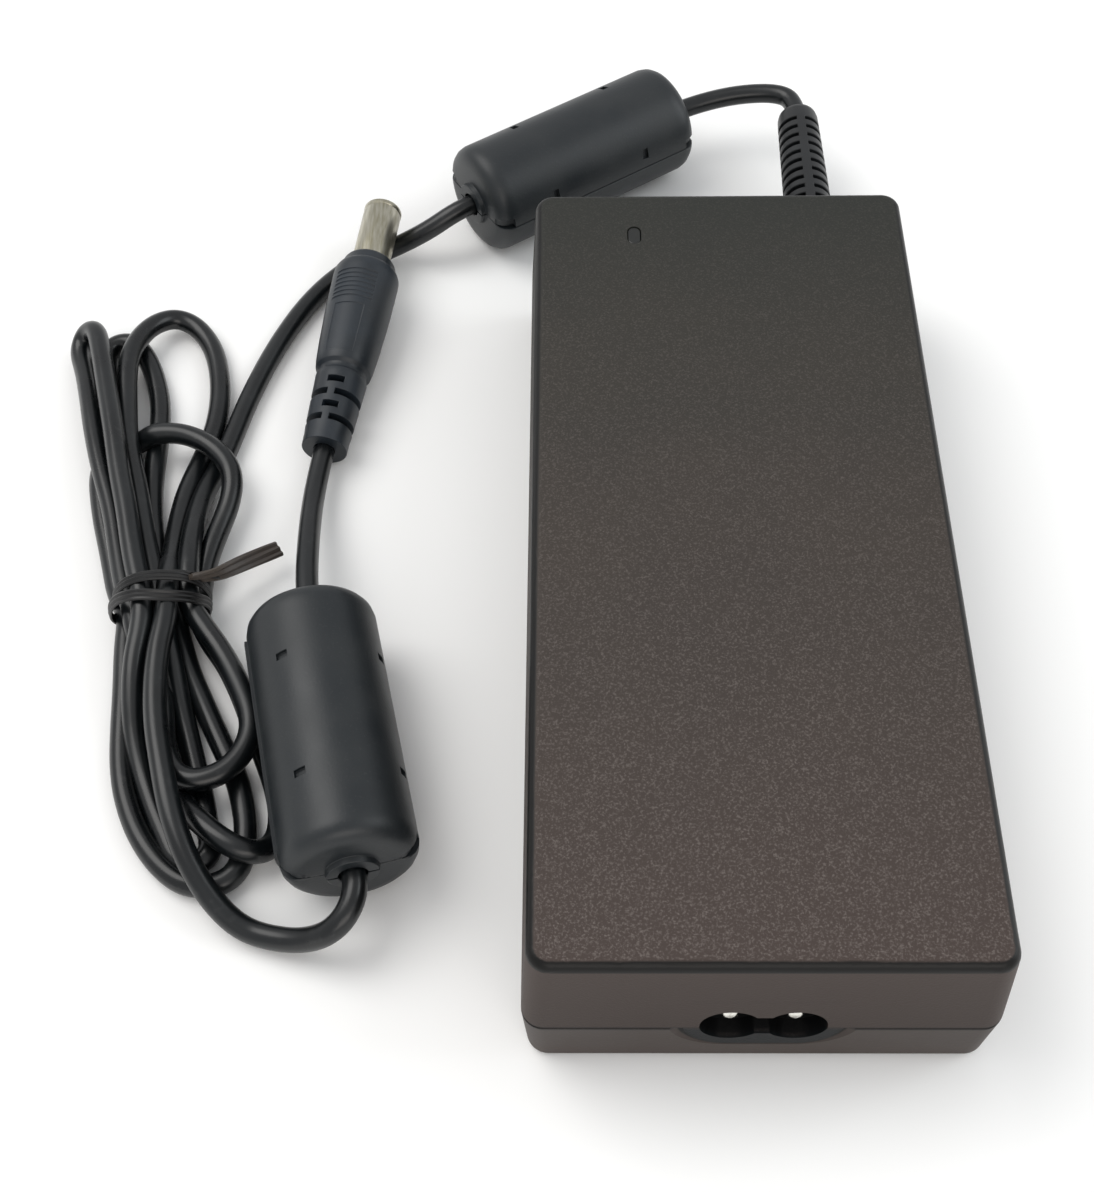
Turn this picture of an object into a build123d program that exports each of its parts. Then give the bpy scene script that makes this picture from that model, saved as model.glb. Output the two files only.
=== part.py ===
"""Laptop power adapter: a two-shell brick with a figure-8 mains inlet and a tied DC lead.

Frame: millimetres, origin at the middle of the brick's base, X across the brick,
+Y towards the end that the DC lead leaves, +Z up.  Everything lies on the plane Z = 0.
"""
from build123d import *
from math import cos, radians, sin, tan
import os

os.makedirs("parts", exist_ok=True)

# ------------------------------------------------------------------ driving sizes
# brick
WIDTH, LENGTH, HEIGHT = 63.5, 142.0, 29.0     # at the parting line, the widest section
SEAM_Z = 11.5                                 # height of the parting line
TOP_DRAFT, BASE_DRAFT = 1.0, 0.6              # how far each side leans in, top and base
WALL = 2.2
CORNER_R, TOP_FILLET, BASE_FILLET = 3.0, 1.6, 1.2
SEAM_CHAMFER = 0.3
LIP_HEIGHT, LIP_THICK, LIP_GAP = 1.6, 0.9, 0.08   # the lower shell's lip in the upper's rebate

# figure-8 mains inlet
INLET_Z = 12.3
PIN_SPACING, PIN_R = 8.6, 1.18
LOBE_R, WAIST = 4.1, 4.9                      # recess: two lobes and the gap between them
RECESS_DEPTH, PIN_INSET = 12.0, 1.3
TONGUE_W, TONGUE_H = 21.0, 12.2               # oval of the upper shell round the recess
TONGUE_GAP = 0.35                             # the dark groove below the tongue
SCOOP = 1.5                                   # bevel on the lower shell round that groove
INLET_BODY_W, INLET_BODY_H, INLET_BACK, INLET_CORNER = 23.0, 12.6, 2.0, 3.0
PIN_TAIL, PIN_ROOT_R, PIN_NOSE = 3.4, 1.5, 0.8    # behind the body, its thick root, rounded tip
SOLDER_TAIL_W, SOLDER_TAIL_T, SOLDER_TAIL_BACK, SOLDER_TAIL_OUT, SOLDER_GAP = 1.6, 1.0, 0.7, 1.2, 0.1

# light window in the lid
WINDOW_X, WINDOW_Y, WINDOW_W, WINDOW_L = -14.3, 59.7, 2.2, 4.0
WINDOW_GAP, WINDOW_SUNK, WINDOW_EDGE = 0.06, 0.1, 0.3
PIPE_FLANGE, PIPE_FLANGE_T, PIPE_R = 1.2, 0.9, 1.5
LED_HEIGHT, LED_R, LED_RIM_R, LED_RIM_T, LED_GAP = 5.0, 1.5, 1.9, 1.0, 0.3

# inside
SPREADER_T, SHEET_T, FILM_GAP = 0.5, 0.4, 0.05
BOARD_T, BOARD_W, BOARD_Z = 1.6, 54.0, 5.2
BOARD_FRONT, BOARD_BACK = -54.5, 63.0
POST_R, POST_PIN_R, POST_HOLE_GAP, POST_SHEET_GAP = 2.5, 1.2, 0.1, 0.2
POST_X, POST_FRONT, POST_BACK = 23.4, -49.0, 57.0
LABEL_W, LABEL_L, LABEL_T = 46.0, 96.0, 0.25
LABEL_CORNER, LABEL_GAP, LABEL_DEPTH = 2.0, 0.2, 0.1
SHEET_MARGIN, PLATE_CORNER = 0.75, 2.0
POST_PIN_HEIGHT = 2.2

# components: how far the tall ones stop short of the upper spreader, and their own sizes
CAPACITOR_CLEAR, CAN_CLEAR, SINK_CLEAR, TRAFO_CLEAR = 4.45, 1.45, 2.95, 1.65
LEAD_PITCH, LEAD_W, LEAD_T, LEAD_STAND = 2.54, 0.9, 0.5, 1.2
FUSE_R, FUSE_L, FUSE_CAP_R, FUSE_CAP_L = 2.3, 20.0, 2.6, 4.8
THERMISTOR_R, THERMISTOR_T, THERMISTOR_EDGE = 5.5, 4.2, 1.2
BYPASS_R, BYPASS_T, BYPASS_EDGE = 4.5, 3.6, 1.0
CHOKE_R, CHOKE_HOLE_R, CHOKE_H, WIRE_T, CHOKE_SPLIT = 8.0, 4.6, 8.0, 1.4, 5.0
CAN_LENGTH, CAN_EDGE, CRIMP_PLACE, CRIMP_W, CRIMP_DEPTH = 30.0, 1.0, 2.5, 0.9, 0.5
SINK_T, TAB_T, PACKAGE_T, PACKAGE_W, PACKAGE_H = 2.0, 1.3, 4.5, 10.0, 9.2
SCREW_R, SCREW_HEAD, SCREW_DROP, TAB_OVER = 2.6, 1.6, 2.5, 0.3
TRAFO_W, TRAFO_L, TRAFO_DEPTH, TRAFO_STAND = 32.0, 24.0, 11.0, 0.8
LEG, MIDDLE_LEG, WINDOW_H, BOBBIN_T, WINDING_GAP = 5.5, 10.0, 9.0, 0.8, 0.1
SLEEVE_T, SLEEVE_GAP, CORE_GAP, BOBBIN_GAP, BOBBIN_MARGIN, RAIL_W = 0.7, 1.2, 0.2, 0.8, 1.0, 3.0
BOBBIN_CORNER, WINDING_CORNER, WINDING_MARGIN = 1.5, 6.0, 0.6
OUTPUT_CAN_R, OUTPUT_CAN_PITCH, ROD_R, ROD_L, COIL_R, COIL_L = 4.0, 9.0, 2.0, 15.0, 4.0, 12.0

# DC lead
CORD_R = 1.8
RELIEF_X, RELIEF_Z, RELIEF_LENGTH = 18.5, 12.3, 39.0
RELIEF_BASE_R, RELIEF_TIP_R = 4.4, 3.4
RELIEF_NECK_R, RELIEF_COLLAR_R, RELIEF_COLLAR_T, RELIEF_GAP = 4.0, 6.0, 2.0, 0.05
RIB_COUNT, RIB_SLOT, RIB_FIRST, RIB_PITCH, RIB_CORE_R, RIB_WIDTH = 12, 1.0, 5.0, 2.6, 2.6, 6.4
RELIEF_TIP_EDGE = 0.8
OUTPUT_LEAD_R, OUTPUT_LEAD_APART, OUTPUT_LEAD_REACH, OUTPUT_LEAD_BEND = 0.9, 3.2, 5.0, 2.5

# clip-on ferrites: round cases 20 mm across and 44 mm long
FERRITE_R, FERRITE_LENGTH, FERRITE_WALL, FERRITE_FILLET = 10.0, 44.0, 1.3, 2.6
FERRITE_BORE_R, FERRITE_CORE_GAP, FERRITE_CORE_END = 2.1, 0.1, 4.0
FERRITE_SEAM_GAP = 0.06
FERRITE_A, FERRITE_A_TURN = (-24.4, 101.3), 33.7       # centre on the floor, angle of the axis
FERRITE_B, FERRITE_B_TURN = (-60.6, -25.85), -77.2

# DC plug, along its own axis from the tail of the boot to the tip of the barrel
PLUG_TAIL, PLUG_TIP = Vector(-67.05, 34.2, 4.2), Vector(-59.88, 88.34, 8.72)
BARREL_R, BARREL_BORE_R, BARREL_LENGTH, BARREL_LIP = 3.5, 2.85, 13.4, 0.3
BARREL_ROOT, BARREL_ROOT_R = 9.0, 3.2          # the barrel's stepped root in the moulding
TAIL_FLANGE_R, TAIL_FLANGE_T, TAIL_NECK_R, BOOT_START, BOOT_TAIL_R = 3.95, 2.4, 3.4, 4.0, 3.9
BOOT_END, BOOT_END_R, WAIST_R, GRIP_START, GRIP_START_R = 15.0, 4.6, 4.3, 16.4, 5.05
GRIP_MID, GRIP_MID_R, GRIP_FRONT, GRIP_R, SHOULDER, SHOULDER_R = 26.0, 5.7, 35.2, 5.95, 38.2, 5.75
NOSE_LENGTH, NOSE_R, PLUG_EDGE = 2.0, 4.9, 0.4
BOOT_ROWS, BOOT_ROW_FIRST, BOOT_PITCH, BOOT_SLOT, BOOT_CORE_R, BOOT_SLOT_W = 4, 4.9, 2.5, 0.9, 2.5, 5.2
BOOT_TURN = 25                                 # how the first row of slots is turned, degrees
INSULATOR_BORE_R, CONTACT_R, CONTACT_BORE_R, PIN_CONTACT_R = 2.6, 2.55, 2.4, 0.35
INSULATOR_SUNK, CONTACT_SUNK, SIGNAL_PIN_SUNK, SIGNAL_PIN_NOSE, INSULATOR_BASE = 0.8, 0.9, 2.0, 0.4, 3.0
PLUG_FIT = 0.02

# ------------------------------------------------------------------ the lead's two routes
LEAD_ROUTE = [                                 # strain relief, ferrite A, tied hank
    (18.5, 110.0, 12.3), (18.5, 114.3, 12.3), (15.2, 117.4, 12.2), (6.6, 118.0, 11.2),
    (-2.6, 115.84, FERRITE_R), (-46.0, 86.9, FERRITE_R), (-51.6, 84.9, 6.9), (-58.2, 84.6, 3.0),
    (-65.8, 81.3, 1.9), (-72.6, 73.0, 1.85), (-77.8, 61.4, 1.9), (-81.6, 48.8, 1.85),
    (-84.4, 36.8, 2.1), (-86.6, 24.0, 3.4),
]
TAIL_ROUTE = [                                 # tied hank, ferrite B, plug
    (-83.2, -38.2, 4.9), (-79.8, -44.8, 4.7), (-75.2, -50.2, 3.2), (-69.0, -53.9, 2.0),
    (-62.4, -55.6, 4.0), (-57.4, -55.4, 8.0), (-54.8, -51.2, FERRITE_R), (-66.35, -0.5, FERRITE_R),
    (-67.5, 12.6, 7.4), (-68.1, 26.4, 3.55), (-67.05, 34.2, 4.2),
]

# tied hank, outer shape in plan, and the tie round its waist
HANK_HEIGHT, HANK_EDGE, WAIST_TOP, WAIST_HALF, WAIST_CORNER = 7.4, 1.2, 10.4, 8.0, 3.0
HANK_GAP = 0.3                                 # between the hank and ferrite B
HANK_OUTLINE = [
    (-99.4, 3.0), (-108.6, 30.0), (-115.0, 56.0), (-112.0, 63.6), (-103.6, 65.0),
    (-98.6, 69.4), (-92.6, 68.4), (-85.6, 60.0), (-83.6, 42.0), (-79.4, 32.0),
    (-79.4, 20.0), (-82.2, 5.0), (-80.4, -5.0), (-71.0, -19.0), (-66.0, -31.0),
    (-66.2, -39.6), (-71.6, -47.8), (-82.0, -48.4), (-90.6, -41.6), (-96.2, -28.0),
    (-96.6, -16.0), (-98.6, -3.0),
]
TIE_T, TIE_WIDTH, TIE_Y, TIE_GAP = 0.5, 6.0, 1.0, 0.3
TIE_LEFT, TIE_RIGHT = -98.9, -81.7
TIE_TAIL = [(-81.4, 1.5, 7.0), (-80.6, 5.0, 7.0), (-72.6, 13.0, 5.0)]
TIE_TAIL_W, TIE_TAIL_T, TIE_BEND = 4.0, 1.2, 3.0


# ------------------------------------------------------------------ small helpers
def keep(builder, name):
    """Label a finished piece and write it to its own file."""
    builder.part.label = name
    export_step(builder.part, f"parts/{name}.step")
    return builder.part


def corner_radii(route, share=0.45):
    """The largest tangent arc that each corner of a route has room for."""
    radii = []
    for before, corner, after in zip(route, route[1:], route[2:]):
        run_in, run_out = Vector(*corner) - Vector(*before), Vector(*after) - Vector(*corner)
        half_turn = radians(run_in.get_angle(run_out)) / 2
        radii.append(share * min(run_in.length, run_out.length) / tan(half_turn))
    return radii


def closed_radii(outline):
    return corner_radii([outline[-1], *outline, outline[0]])


def post_places():
    return [(x, y) for x in (-POST_X, POST_X) for y in (POST_FRONT, POST_BACK)]


def section(shrink, inset, corner):
    """A rounded plan section of the brick: leaned in by shrink, then in by a wall."""
    RectangleRounded(WIDTH - 2 * (shrink + inset), LENGTH - 2 * (shrink + inset), corner)


def figure_eight(lobe_r, waist):
    """Two lobes at the pins' spacing, joined by a waist."""
    with Locations((-PIN_SPACING / 2, 0), (PIN_SPACING / 2, 0)):
        Circle(lobe_r)
    Rectangle(PIN_SPACING, waist)


def front_plane(y):
    """A sketch plane across the brick at y, with X across and its own Y up, facing -Y."""
    return Plane(origin=(0, y, INLET_Z), x_dir=(1, 0, 0), z_dir=(0, -1, 0))


FRONT, BACK = -LENGTH / 2, LENGTH / 2
CEILING = HEIGHT - WALL
BOARD_TOP = BOARD_Z + BOARD_T
HEADROOM = CEILING - FILM_GAP - SPREADER_T - BOARD_TOP    # clear height over the board


def inner_lean(z):
    """How far the upper shell's inner face leans in at height z above the parting line."""
    return TOP_DRAFT * (z - SEAM_Z) / (CEILING - SEAM_Z)


# the inlet's body stands against the end wall's inner face where that leans in furthest
BODY_FRONT = FRONT + WALL + inner_lean(INLET_Z + INLET_BODY_H / 2)
CAVITY_END = FRONT + RECESS_DEPTH
BODY_END = CAVITY_END + INLET_BACK
INNER_CORNER = CORNER_R - WALL / 2
OUTSIDE = 2.0                                  # how far a cutting tool runs past a face

# ------------------------------------------------------------------ upper shell
with BuildPart() as upper_shell:
    with BuildSketch(Plane.XY.offset(SEAM_Z + SEAM_CHAMFER)):
        section(0, 0, CORNER_R)
    with BuildSketch(Plane.XY.offset(HEIGHT)):
        section(TOP_DRAFT, 0, CORNER_R)
    loft()
    fillet(upper_shell.faces().sort_by(Axis.Z)[-1].edges(), TOP_FILLET)
    with BuildSketch(Plane.XY.offset(SEAM_Z)):
        section(SEAM_CHAMFER, 0, CORNER_R)
    with BuildSketch(Plane.XY.offset(SEAM_Z + SEAM_CHAMFER)):
        section(0, 0, CORNER_R)
    loft()
    with BuildSketch(Plane.XY.offset(SEAM_Z)):
        section(0, WALL, INNER_CORNER)
    with BuildSketch(Plane.XY.offset(CEILING)):
        section(TOP_DRAFT, WALL, INNER_CORNER)
    loft(mode=Mode.SUBTRACT)
    # the rebate that the lower shell's lip enters
    with BuildSketch(Plane.XY.offset(SEAM_Z)):
        section(0, WALL - LIP_THICK - LIP_GAP, CORNER_R - WALL + LIP_THICK + LIP_GAP)
    extrude(amount=LIP_HEIGHT + LIP_GAP, mode=Mode.SUBTRACT)
    # the oval boss behind the wall, the tongue of it that reaches down through the lower
    # shell to the end face, and the mains recess through both
    with BuildSketch(front_plane(BODY_FRONT)):
        SlotOverall(TONGUE_W, TONGUE_H)
    extrude(amount=BODY_FRONT - FRONT - WALL / 2)
    with BuildSketch(front_plane(FRONT + WALL / 2)):
        SlotOverall(TONGUE_W, TONGUE_H)
        with Locations((0, SEAM_Z + SEAM_CHAMFER - INLET_Z)):
            Rectangle(2 * TONGUE_W, TONGUE_H, align=(Align.CENTER, Align.MIN), mode=Mode.SUBTRACT)
    extrude(amount=WALL / 2)
    with BuildSketch(front_plane(BODY_FRONT)):
        figure_eight(LOBE_R, WAIST)
    extrude(amount=BODY_FRONT - FRONT + OUTSIDE, mode=Mode.SUBTRACT)
    # upper half of the hole for the strain relief's neck
    with Locations(Location((RELIEF_X, BACK, RELIEF_Z), (90, 0, 0))):
        Cylinder(RELIEF_NECK_R + RELIEF_GAP, 4 * WALL, mode=Mode.SUBTRACT)
    # light window
    with BuildSketch(Plane.XY.offset(CEILING - OUTSIDE)):
        with Locations((WINDOW_X, WINDOW_Y)):
            SlotOverall(WINDOW_L + 2 * WINDOW_GAP, WINDOW_W + 2 * WINDOW_GAP, rotation=90)
    extrude(amount=WALL + 2 * OUTSIDE, mode=Mode.SUBTRACT)
keep(upper_shell, "upper_shell")

# ------------------------------------------------------------------ lower shell
with BuildPart() as lower_shell:
    with BuildSketch(Plane.XY):
        section(BASE_DRAFT, 0, CORNER_R)
    with BuildSketch(Plane.XY.offset(SEAM_Z - SEAM_CHAMFER)):
        section(0, 0, CORNER_R)
    loft()
    fillet(lower_shell.faces().sort_by(Axis.Z)[0].edges(), BASE_FILLET)
    with BuildSketch(Plane.XY.offset(SEAM_Z - SEAM_CHAMFER)):
        section(0, 0, CORNER_R)
    with BuildSketch(Plane.XY.offset(SEAM_Z)):
        section(SEAM_CHAMFER, 0, CORNER_R)
    loft()
    # the lip that stands up inside the upper shell's rebate
    with BuildSketch(Plane.XY.offset(SEAM_Z)):
        section(0, WALL - LIP_THICK, CORNER_R - WALL + LIP_THICK)
    extrude(amount=LIP_HEIGHT)
    with BuildSketch(Plane.XY.offset(WALL)):
        section(BASE_DRAFT, WALL, INNER_CORNER)
    with BuildSketch(Plane.XY.offset(SEAM_Z)):
        section(0, WALL, INNER_CORNER)
    loft(mode=Mode.SUBTRACT)
    with BuildSketch(Plane.XY.offset(SEAM_Z)):
        section(0, WALL, INNER_CORNER)
    extrude(amount=LIP_HEIGHT, mode=Mode.SUBTRACT)
    # the notch that the tongue drops into, with a bevel round its mouth
    with BuildSketch(front_plane(FRONT + WALL + OUTSIDE)):
        SlotOverall(TONGUE_W + 2 * TONGUE_GAP, TONGUE_H + 2 * TONGUE_GAP)
    extrude(amount=WALL + 2 * OUTSIDE, mode=Mode.SUBTRACT)
    with BuildSketch(front_plane(FRONT + SCOOP / 2)):
        SlotOverall(TONGUE_W + 2 * TONGUE_GAP, TONGUE_H + 2 * TONGUE_GAP)
    with BuildSketch(front_plane(FRONT)):
        SlotOverall(TONGUE_W + 2 * (TONGUE_GAP + SCOOP), TONGUE_H + 2 * (TONGUE_GAP + SCOOP))
    loft(mode=Mode.SUBTRACT)
    # lower half of the hole for the strain relief's neck
    with Locations(Location((RELIEF_X, BACK, RELIEF_Z), (90, 0, 0))):
        Cylinder(RELIEF_NECK_R + RELIEF_GAP, 4 * WALL, mode=Mode.SUBTRACT)
    # posts that carry the board
    with Locations(*[(x, y, WALL) for x, y in post_places()]):
        Cylinder(POST_R, BOARD_Z - WALL, align=(Align.CENTER, Align.CENTER, Align.MIN))
    with Locations(*[(x, y, BOARD_Z) for x, y in post_places()]):
        Cylinder(POST_PIN_R, POST_PIN_HEIGHT, align=(Align.CENTER, Align.CENTER, Align.MIN))
    # shallow pocket for the rating label
    with BuildSketch(Plane.XY):
        RectangleRounded(LABEL_W + 2 * LABEL_GAP, LABEL_L + 2 * LABEL_GAP,
                         LABEL_CORNER + LABEL_GAP)
    extrude(amount=LABEL_T + LABEL_DEPTH, mode=Mode.SUBTRACT)
keep(lower_shell, "lower_shell")

with BuildPart() as rating_label:
    with BuildSketch(Plane.XY.offset(LABEL_DEPTH)):
        RectangleRounded(LABEL_W, LABEL_L, LABEL_CORNER)
    extrude(amount=LABEL_T)
keep(rating_label, "rating_label")

# ------------------------------------------------------------------ mains inlet
with BuildPart() as inlet_housing:
    with BuildSketch(front_plane(BODY_END)):
        RectangleRounded(INLET_BODY_W, INLET_BODY_H, INLET_CORNER)
    extrude(amount=BODY_END - BODY_FRONT)
    with BuildSketch(front_plane(CAVITY_END)):
        figure_eight(LOBE_R, WAIST)
    extrude(amount=CAVITY_END - BODY_FRONT, mode=Mode.SUBTRACT)
    with BuildSketch(front_plane(BODY_END)):
        with Locations((-PIN_SPACING / 2, 0), (PIN_SPACING / 2, 0)):
            Circle(PIN_ROOT_R)
    extrude(amount=INLET_BACK, mode=Mode.SUBTRACT)
keep(inlet_housing, "inlet_housing")

SOLDER_Y = BODY_END + PIN_TAIL - SOLDER_TAIL_BACK
for side, name in ((-1, "inlet_pin_left"), (1, "inlet_pin_right")):
    with BuildPart() as inlet_pin:
        pin_x = side * PIN_SPACING / 2
        with BuildSketch(front_plane(BODY_END)):
            with Locations((pin_x, 0)):
                Circle(PIN_R)
        extrude(amount=BODY_END - FRONT - PIN_INSET)
        fillet(inlet_pin.faces().sort_by(Axis.Y)[0].edges(), PIN_NOSE)
        with BuildSketch(front_plane(BODY_END + PIN_TAIL)):
            with Locations((pin_x, 0)):
                Circle(PIN_ROOT_R)
        extrude(amount=PIN_TAIL + INLET_BACK)
        # flat solder tail down through the board
        with Locations((pin_x, SOLDER_Y, INLET_Z)):
            Box(SOLDER_TAIL_W, SOLDER_TAIL_T, INLET_Z - BOARD_Z + SOLDER_TAIL_OUT,
                align=(Align.CENTER, Align.CENTER, Align.MAX))
    keep(inlet_pin, name)

# ------------------------------------------------------------------ light window
with BuildPart() as light_pipe:
    with BuildSketch(Plane.XY.offset(CEILING)):
        with Locations((WINDOW_X, WINDOW_Y)):
            SlotOverall(WINDOW_L, WINDOW_W, rotation=90)
    extrude(amount=WALL - WINDOW_SUNK)
    fillet(light_pipe.faces().sort_by(Axis.Z)[-1].edges(), WINDOW_EDGE)
    with BuildSketch(Plane.XY.offset(CEILING)):
        with Locations((WINDOW_X, WINDOW_Y)):
            SlotOverall(WINDOW_L + 2 * PIPE_FLANGE, WINDOW_W + 2 * PIPE_FLANGE, rotation=90)
    extrude(amount=-PIPE_FLANGE_T)
    with Locations((WINDOW_X, WINDOW_Y, CEILING - PIPE_FLANGE_T)):
        Cylinder(PIPE_R, CEILING - PIPE_FLANGE_T - BOARD_TOP - LED_HEIGHT - LED_GAP,
                 align=(Align.CENTER, Align.CENTER, Align.MAX))
keep(light_pipe, "light_pipe")

with BuildPart() as status_led:
    with Locations((WINDOW_X, WINDOW_Y, BOARD_TOP)):
        Cylinder(LED_RIM_R, LED_RIM_T, align=(Align.CENTER, Align.CENTER, Align.MIN))
        Cylinder(LED_R, LED_HEIGHT - LED_R, align=(Align.CENTER, Align.CENTER, Align.MIN))
    with Locations((WINDOW_X, WINDOW_Y, BOARD_TOP + LED_HEIGHT - LED_R)):
        Sphere(LED_R)
keep(status_led, "status_led")

# ------------------------------------------------------------------ board and insulation
PLATE_L = BOARD_BACK - BOARD_FRONT
PLATE_Y = (BOARD_BACK + BOARD_FRONT) / 2


def plate(z, thick, width, length, hole_r):
    """A flat plate over the floor of the case, cleared round the board posts."""
    with BuildSketch(Plane.XY.offset(z)) as outline:
        with Locations((0, PLATE_Y)):
            RectangleRounded(width, length, PLATE_CORNER)
        with Locations(*post_places()):
            Circle(hole_r, mode=Mode.SUBTRACT)
    extrude(outline.sketch, amount=thick)


with BuildPart() as lower_spreader:
    plate(WALL, SPREADER_T, BOARD_W, PLATE_L, POST_R + 2 * POST_SHEET_GAP)
keep(lower_spreader, "lower_spreader")

with BuildPart() as insulation_sheet:
    plate(WALL + SPREADER_T, SHEET_T, BOARD_W + 2 * SHEET_MARGIN, PLATE_L + 2 * SHEET_MARGIN,
          POST_R + POST_SHEET_GAP)
keep(insulation_sheet, "insulation_sheet")

with BuildPart() as circuit_board:
    plate(BOARD_Z, BOARD_T, BOARD_W, PLATE_L, POST_PIN_R + POST_HOLE_GAP)
    with Locations(*[(side * PIN_SPACING / 2, SOLDER_Y, BOARD_Z) for side in (-1, 1)]):
        Box(SOLDER_TAIL_W + 2 * SOLDER_GAP, SOLDER_TAIL_T + 2 * SOLDER_GAP, 4 * BOARD_T,
            mode=Mode.SUBTRACT)
keep(circuit_board, "circuit_board")

with BuildPart() as upper_spreader:
    with BuildSketch(Plane.XY.offset(CEILING - FILM_GAP - SPREADER_T)):
        with Locations((0, PLATE_Y)):
            RectangleRounded(BOARD_W, PLATE_L, PLATE_CORNER)
        with Locations((WINDOW_X, WINDOW_Y)):
            SlotOverall(WINDOW_L + 4 * PIPE_FLANGE, WINDOW_W + 3 * PIPE_FLANGE, rotation=90,
                        mode=Mode.SUBTRACT)
    extrude(amount=SPREADER_T)
keep(upper_spreader, "upper_spreader")


# ------------------------------------------------------------------ components on the board
def block(x, y, width, length, height, z=BOARD_TOP):
    with Locations((x, y, z)):
        Box(width, length, height, align=(Align.CENTER, Align.CENTER, Align.MIN))


def disc(x, y, radius, thick, edge, builder):
    """A lacquered disc that stands on its rim, its faces across the brick."""
    with Locations(Location((x, y, BOARD_TOP + radius), (0, 90, 0))):
        Cylinder(radius, thick)
    fillet(builder.edges().filter_by(GeomType.CIRCLE), edge)


with BuildPart() as fuse:
    with Locations(Location((-19.0, -38.0, BOARD_TOP + FUSE_CAP_R), (90, 0, 0))):
        Cylinder(FUSE_R, FUSE_L)
        with Locations((0, 0, -(FUSE_L - FUSE_CAP_L) / 2), (0, 0, (FUSE_L - FUSE_CAP_L) / 2)):
            Cylinder(FUSE_CAP_R, FUSE_CAP_L)
keep(fuse, "fuse")

with BuildPart() as thermistor:
    disc(21.0, -40.0, THERMISTOR_R, THERMISTOR_T, THERMISTOR_EDGE, thermistor)
keep(thermistor, "thermistor")

with BuildPart() as filter_capacitor:
    block(-8.0, -36.0, 9.0, 18.0, HEADROOM - CAPACITOR_CLEAR)
    fillet(filter_capacitor.edges().filter_by(Axis.Z), 1.0)
keep(filter_capacitor, "filter_capacitor")

CHOKE = (8.5, -36.0)
with BuildPart() as choke_core:
    with BuildSketch(Plane.XY.offset(BOARD_TOP + WIRE_T)):
        with Locations(CHOKE):
            Circle(CHOKE_R)
            Circle(CHOKE_HOLE_R, mode=Mode.SUBTRACT)
    extrude(amount=CHOKE_H)
keep(choke_core, "choke_core")

with BuildPart() as choke_windings:
    with BuildSketch(Plane.XY.offset(BOARD_TOP)):
        with Locations(CHOKE):
            Circle(CHOKE_R + WIRE_T)
            Circle(CHOKE_HOLE_R - WIRE_T, mode=Mode.SUBTRACT)
            Rectangle(2 * CHOKE_R + 4 * WIRE_T, CHOKE_SPLIT, mode=Mode.SUBTRACT)
    extrude(amount=CHOKE_H + 2 * WIRE_T)
    add(choke_core.part, mode=Mode.SUBTRACT)
keep(choke_windings, "choke_windings")

with BuildPart() as bridge_rectifier:
    block(-12.0, -22.0, 20.0, 3.8, 14.5)
    chamfer(bridge_rectifier.edges().filter_by(Axis.Z).sort_by(Axis.X)[-2:], 1.2)
keep(bridge_rectifier, "bridge_rectifier")

CAN_R = (HEADROOM - CAN_CLEAR) / 2
can_plane = Plane(origin=(16.0, -26.0, BOARD_TOP + CAN_R), z_dir=(0, 1, 0))
with BuildPart() as bulk_capacitor:
    with BuildSketch(can_plane):
        Circle(CAN_R)
    extrude(amount=CAN_LENGTH)
    fillet(bulk_capacitor.edges().filter_by(GeomType.CIRCLE), CAN_EDGE)
    # the crimp round the can near its seal
    with BuildSketch(can_plane.offset(CRIMP_PLACE)):
        Circle(CAN_R + CAN_EDGE)
        Circle(CAN_R - CRIMP_DEPTH, mode=Mode.SUBTRACT)
    extrude(amount=CRIMP_W, mode=Mode.SUBTRACT)
keep(bulk_capacitor, "bulk_capacitor")

SINK_H = HEADROOM - SINK_CLEAR
FIRST_SINK_X, SECOND_SINK_Y = -25.0, 37.0
with BuildPart() as primary_heatsink:
    block(FIRST_SINK_X, -5.0, SINK_T, 26.0, SINK_H)
    block(FIRST_SINK_X + 2.4, -16.0, 6.8, 4.0, SINK_T, z=BOARD_TOP + SINK_H - SINK_T)
keep(primary_heatsink, "primary_heatsink")

TAB_FOOT = LEAD_STAND + PACKAGE_H               # the tab starts where the package's body ends
TAB_H = SINK_H + TAB_OVER - TAB_FOOT
SWITCH_Y, SWITCH_X = -4.0, FIRST_SINK_X + SINK_T / 2
with BuildPart() as switch_transistor:
    block(SWITCH_X + PACKAGE_T / 2, SWITCH_Y, PACKAGE_T, PACKAGE_W, PACKAGE_H,
          z=BOARD_TOP + LEAD_STAND)
    block(SWITCH_X + TAB_T / 2, SWITCH_Y, TAB_T, PACKAGE_W, TAB_H, z=BOARD_TOP + TAB_FOOT)
    for lead in (-LEAD_PITCH, 0.0, LEAD_PITCH):
        block(SWITCH_X + PACKAGE_T / 2, SWITCH_Y + lead, LEAD_T, LEAD_W, LEAD_STAND)
keep(switch_transistor, "switch_transistor")

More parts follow.
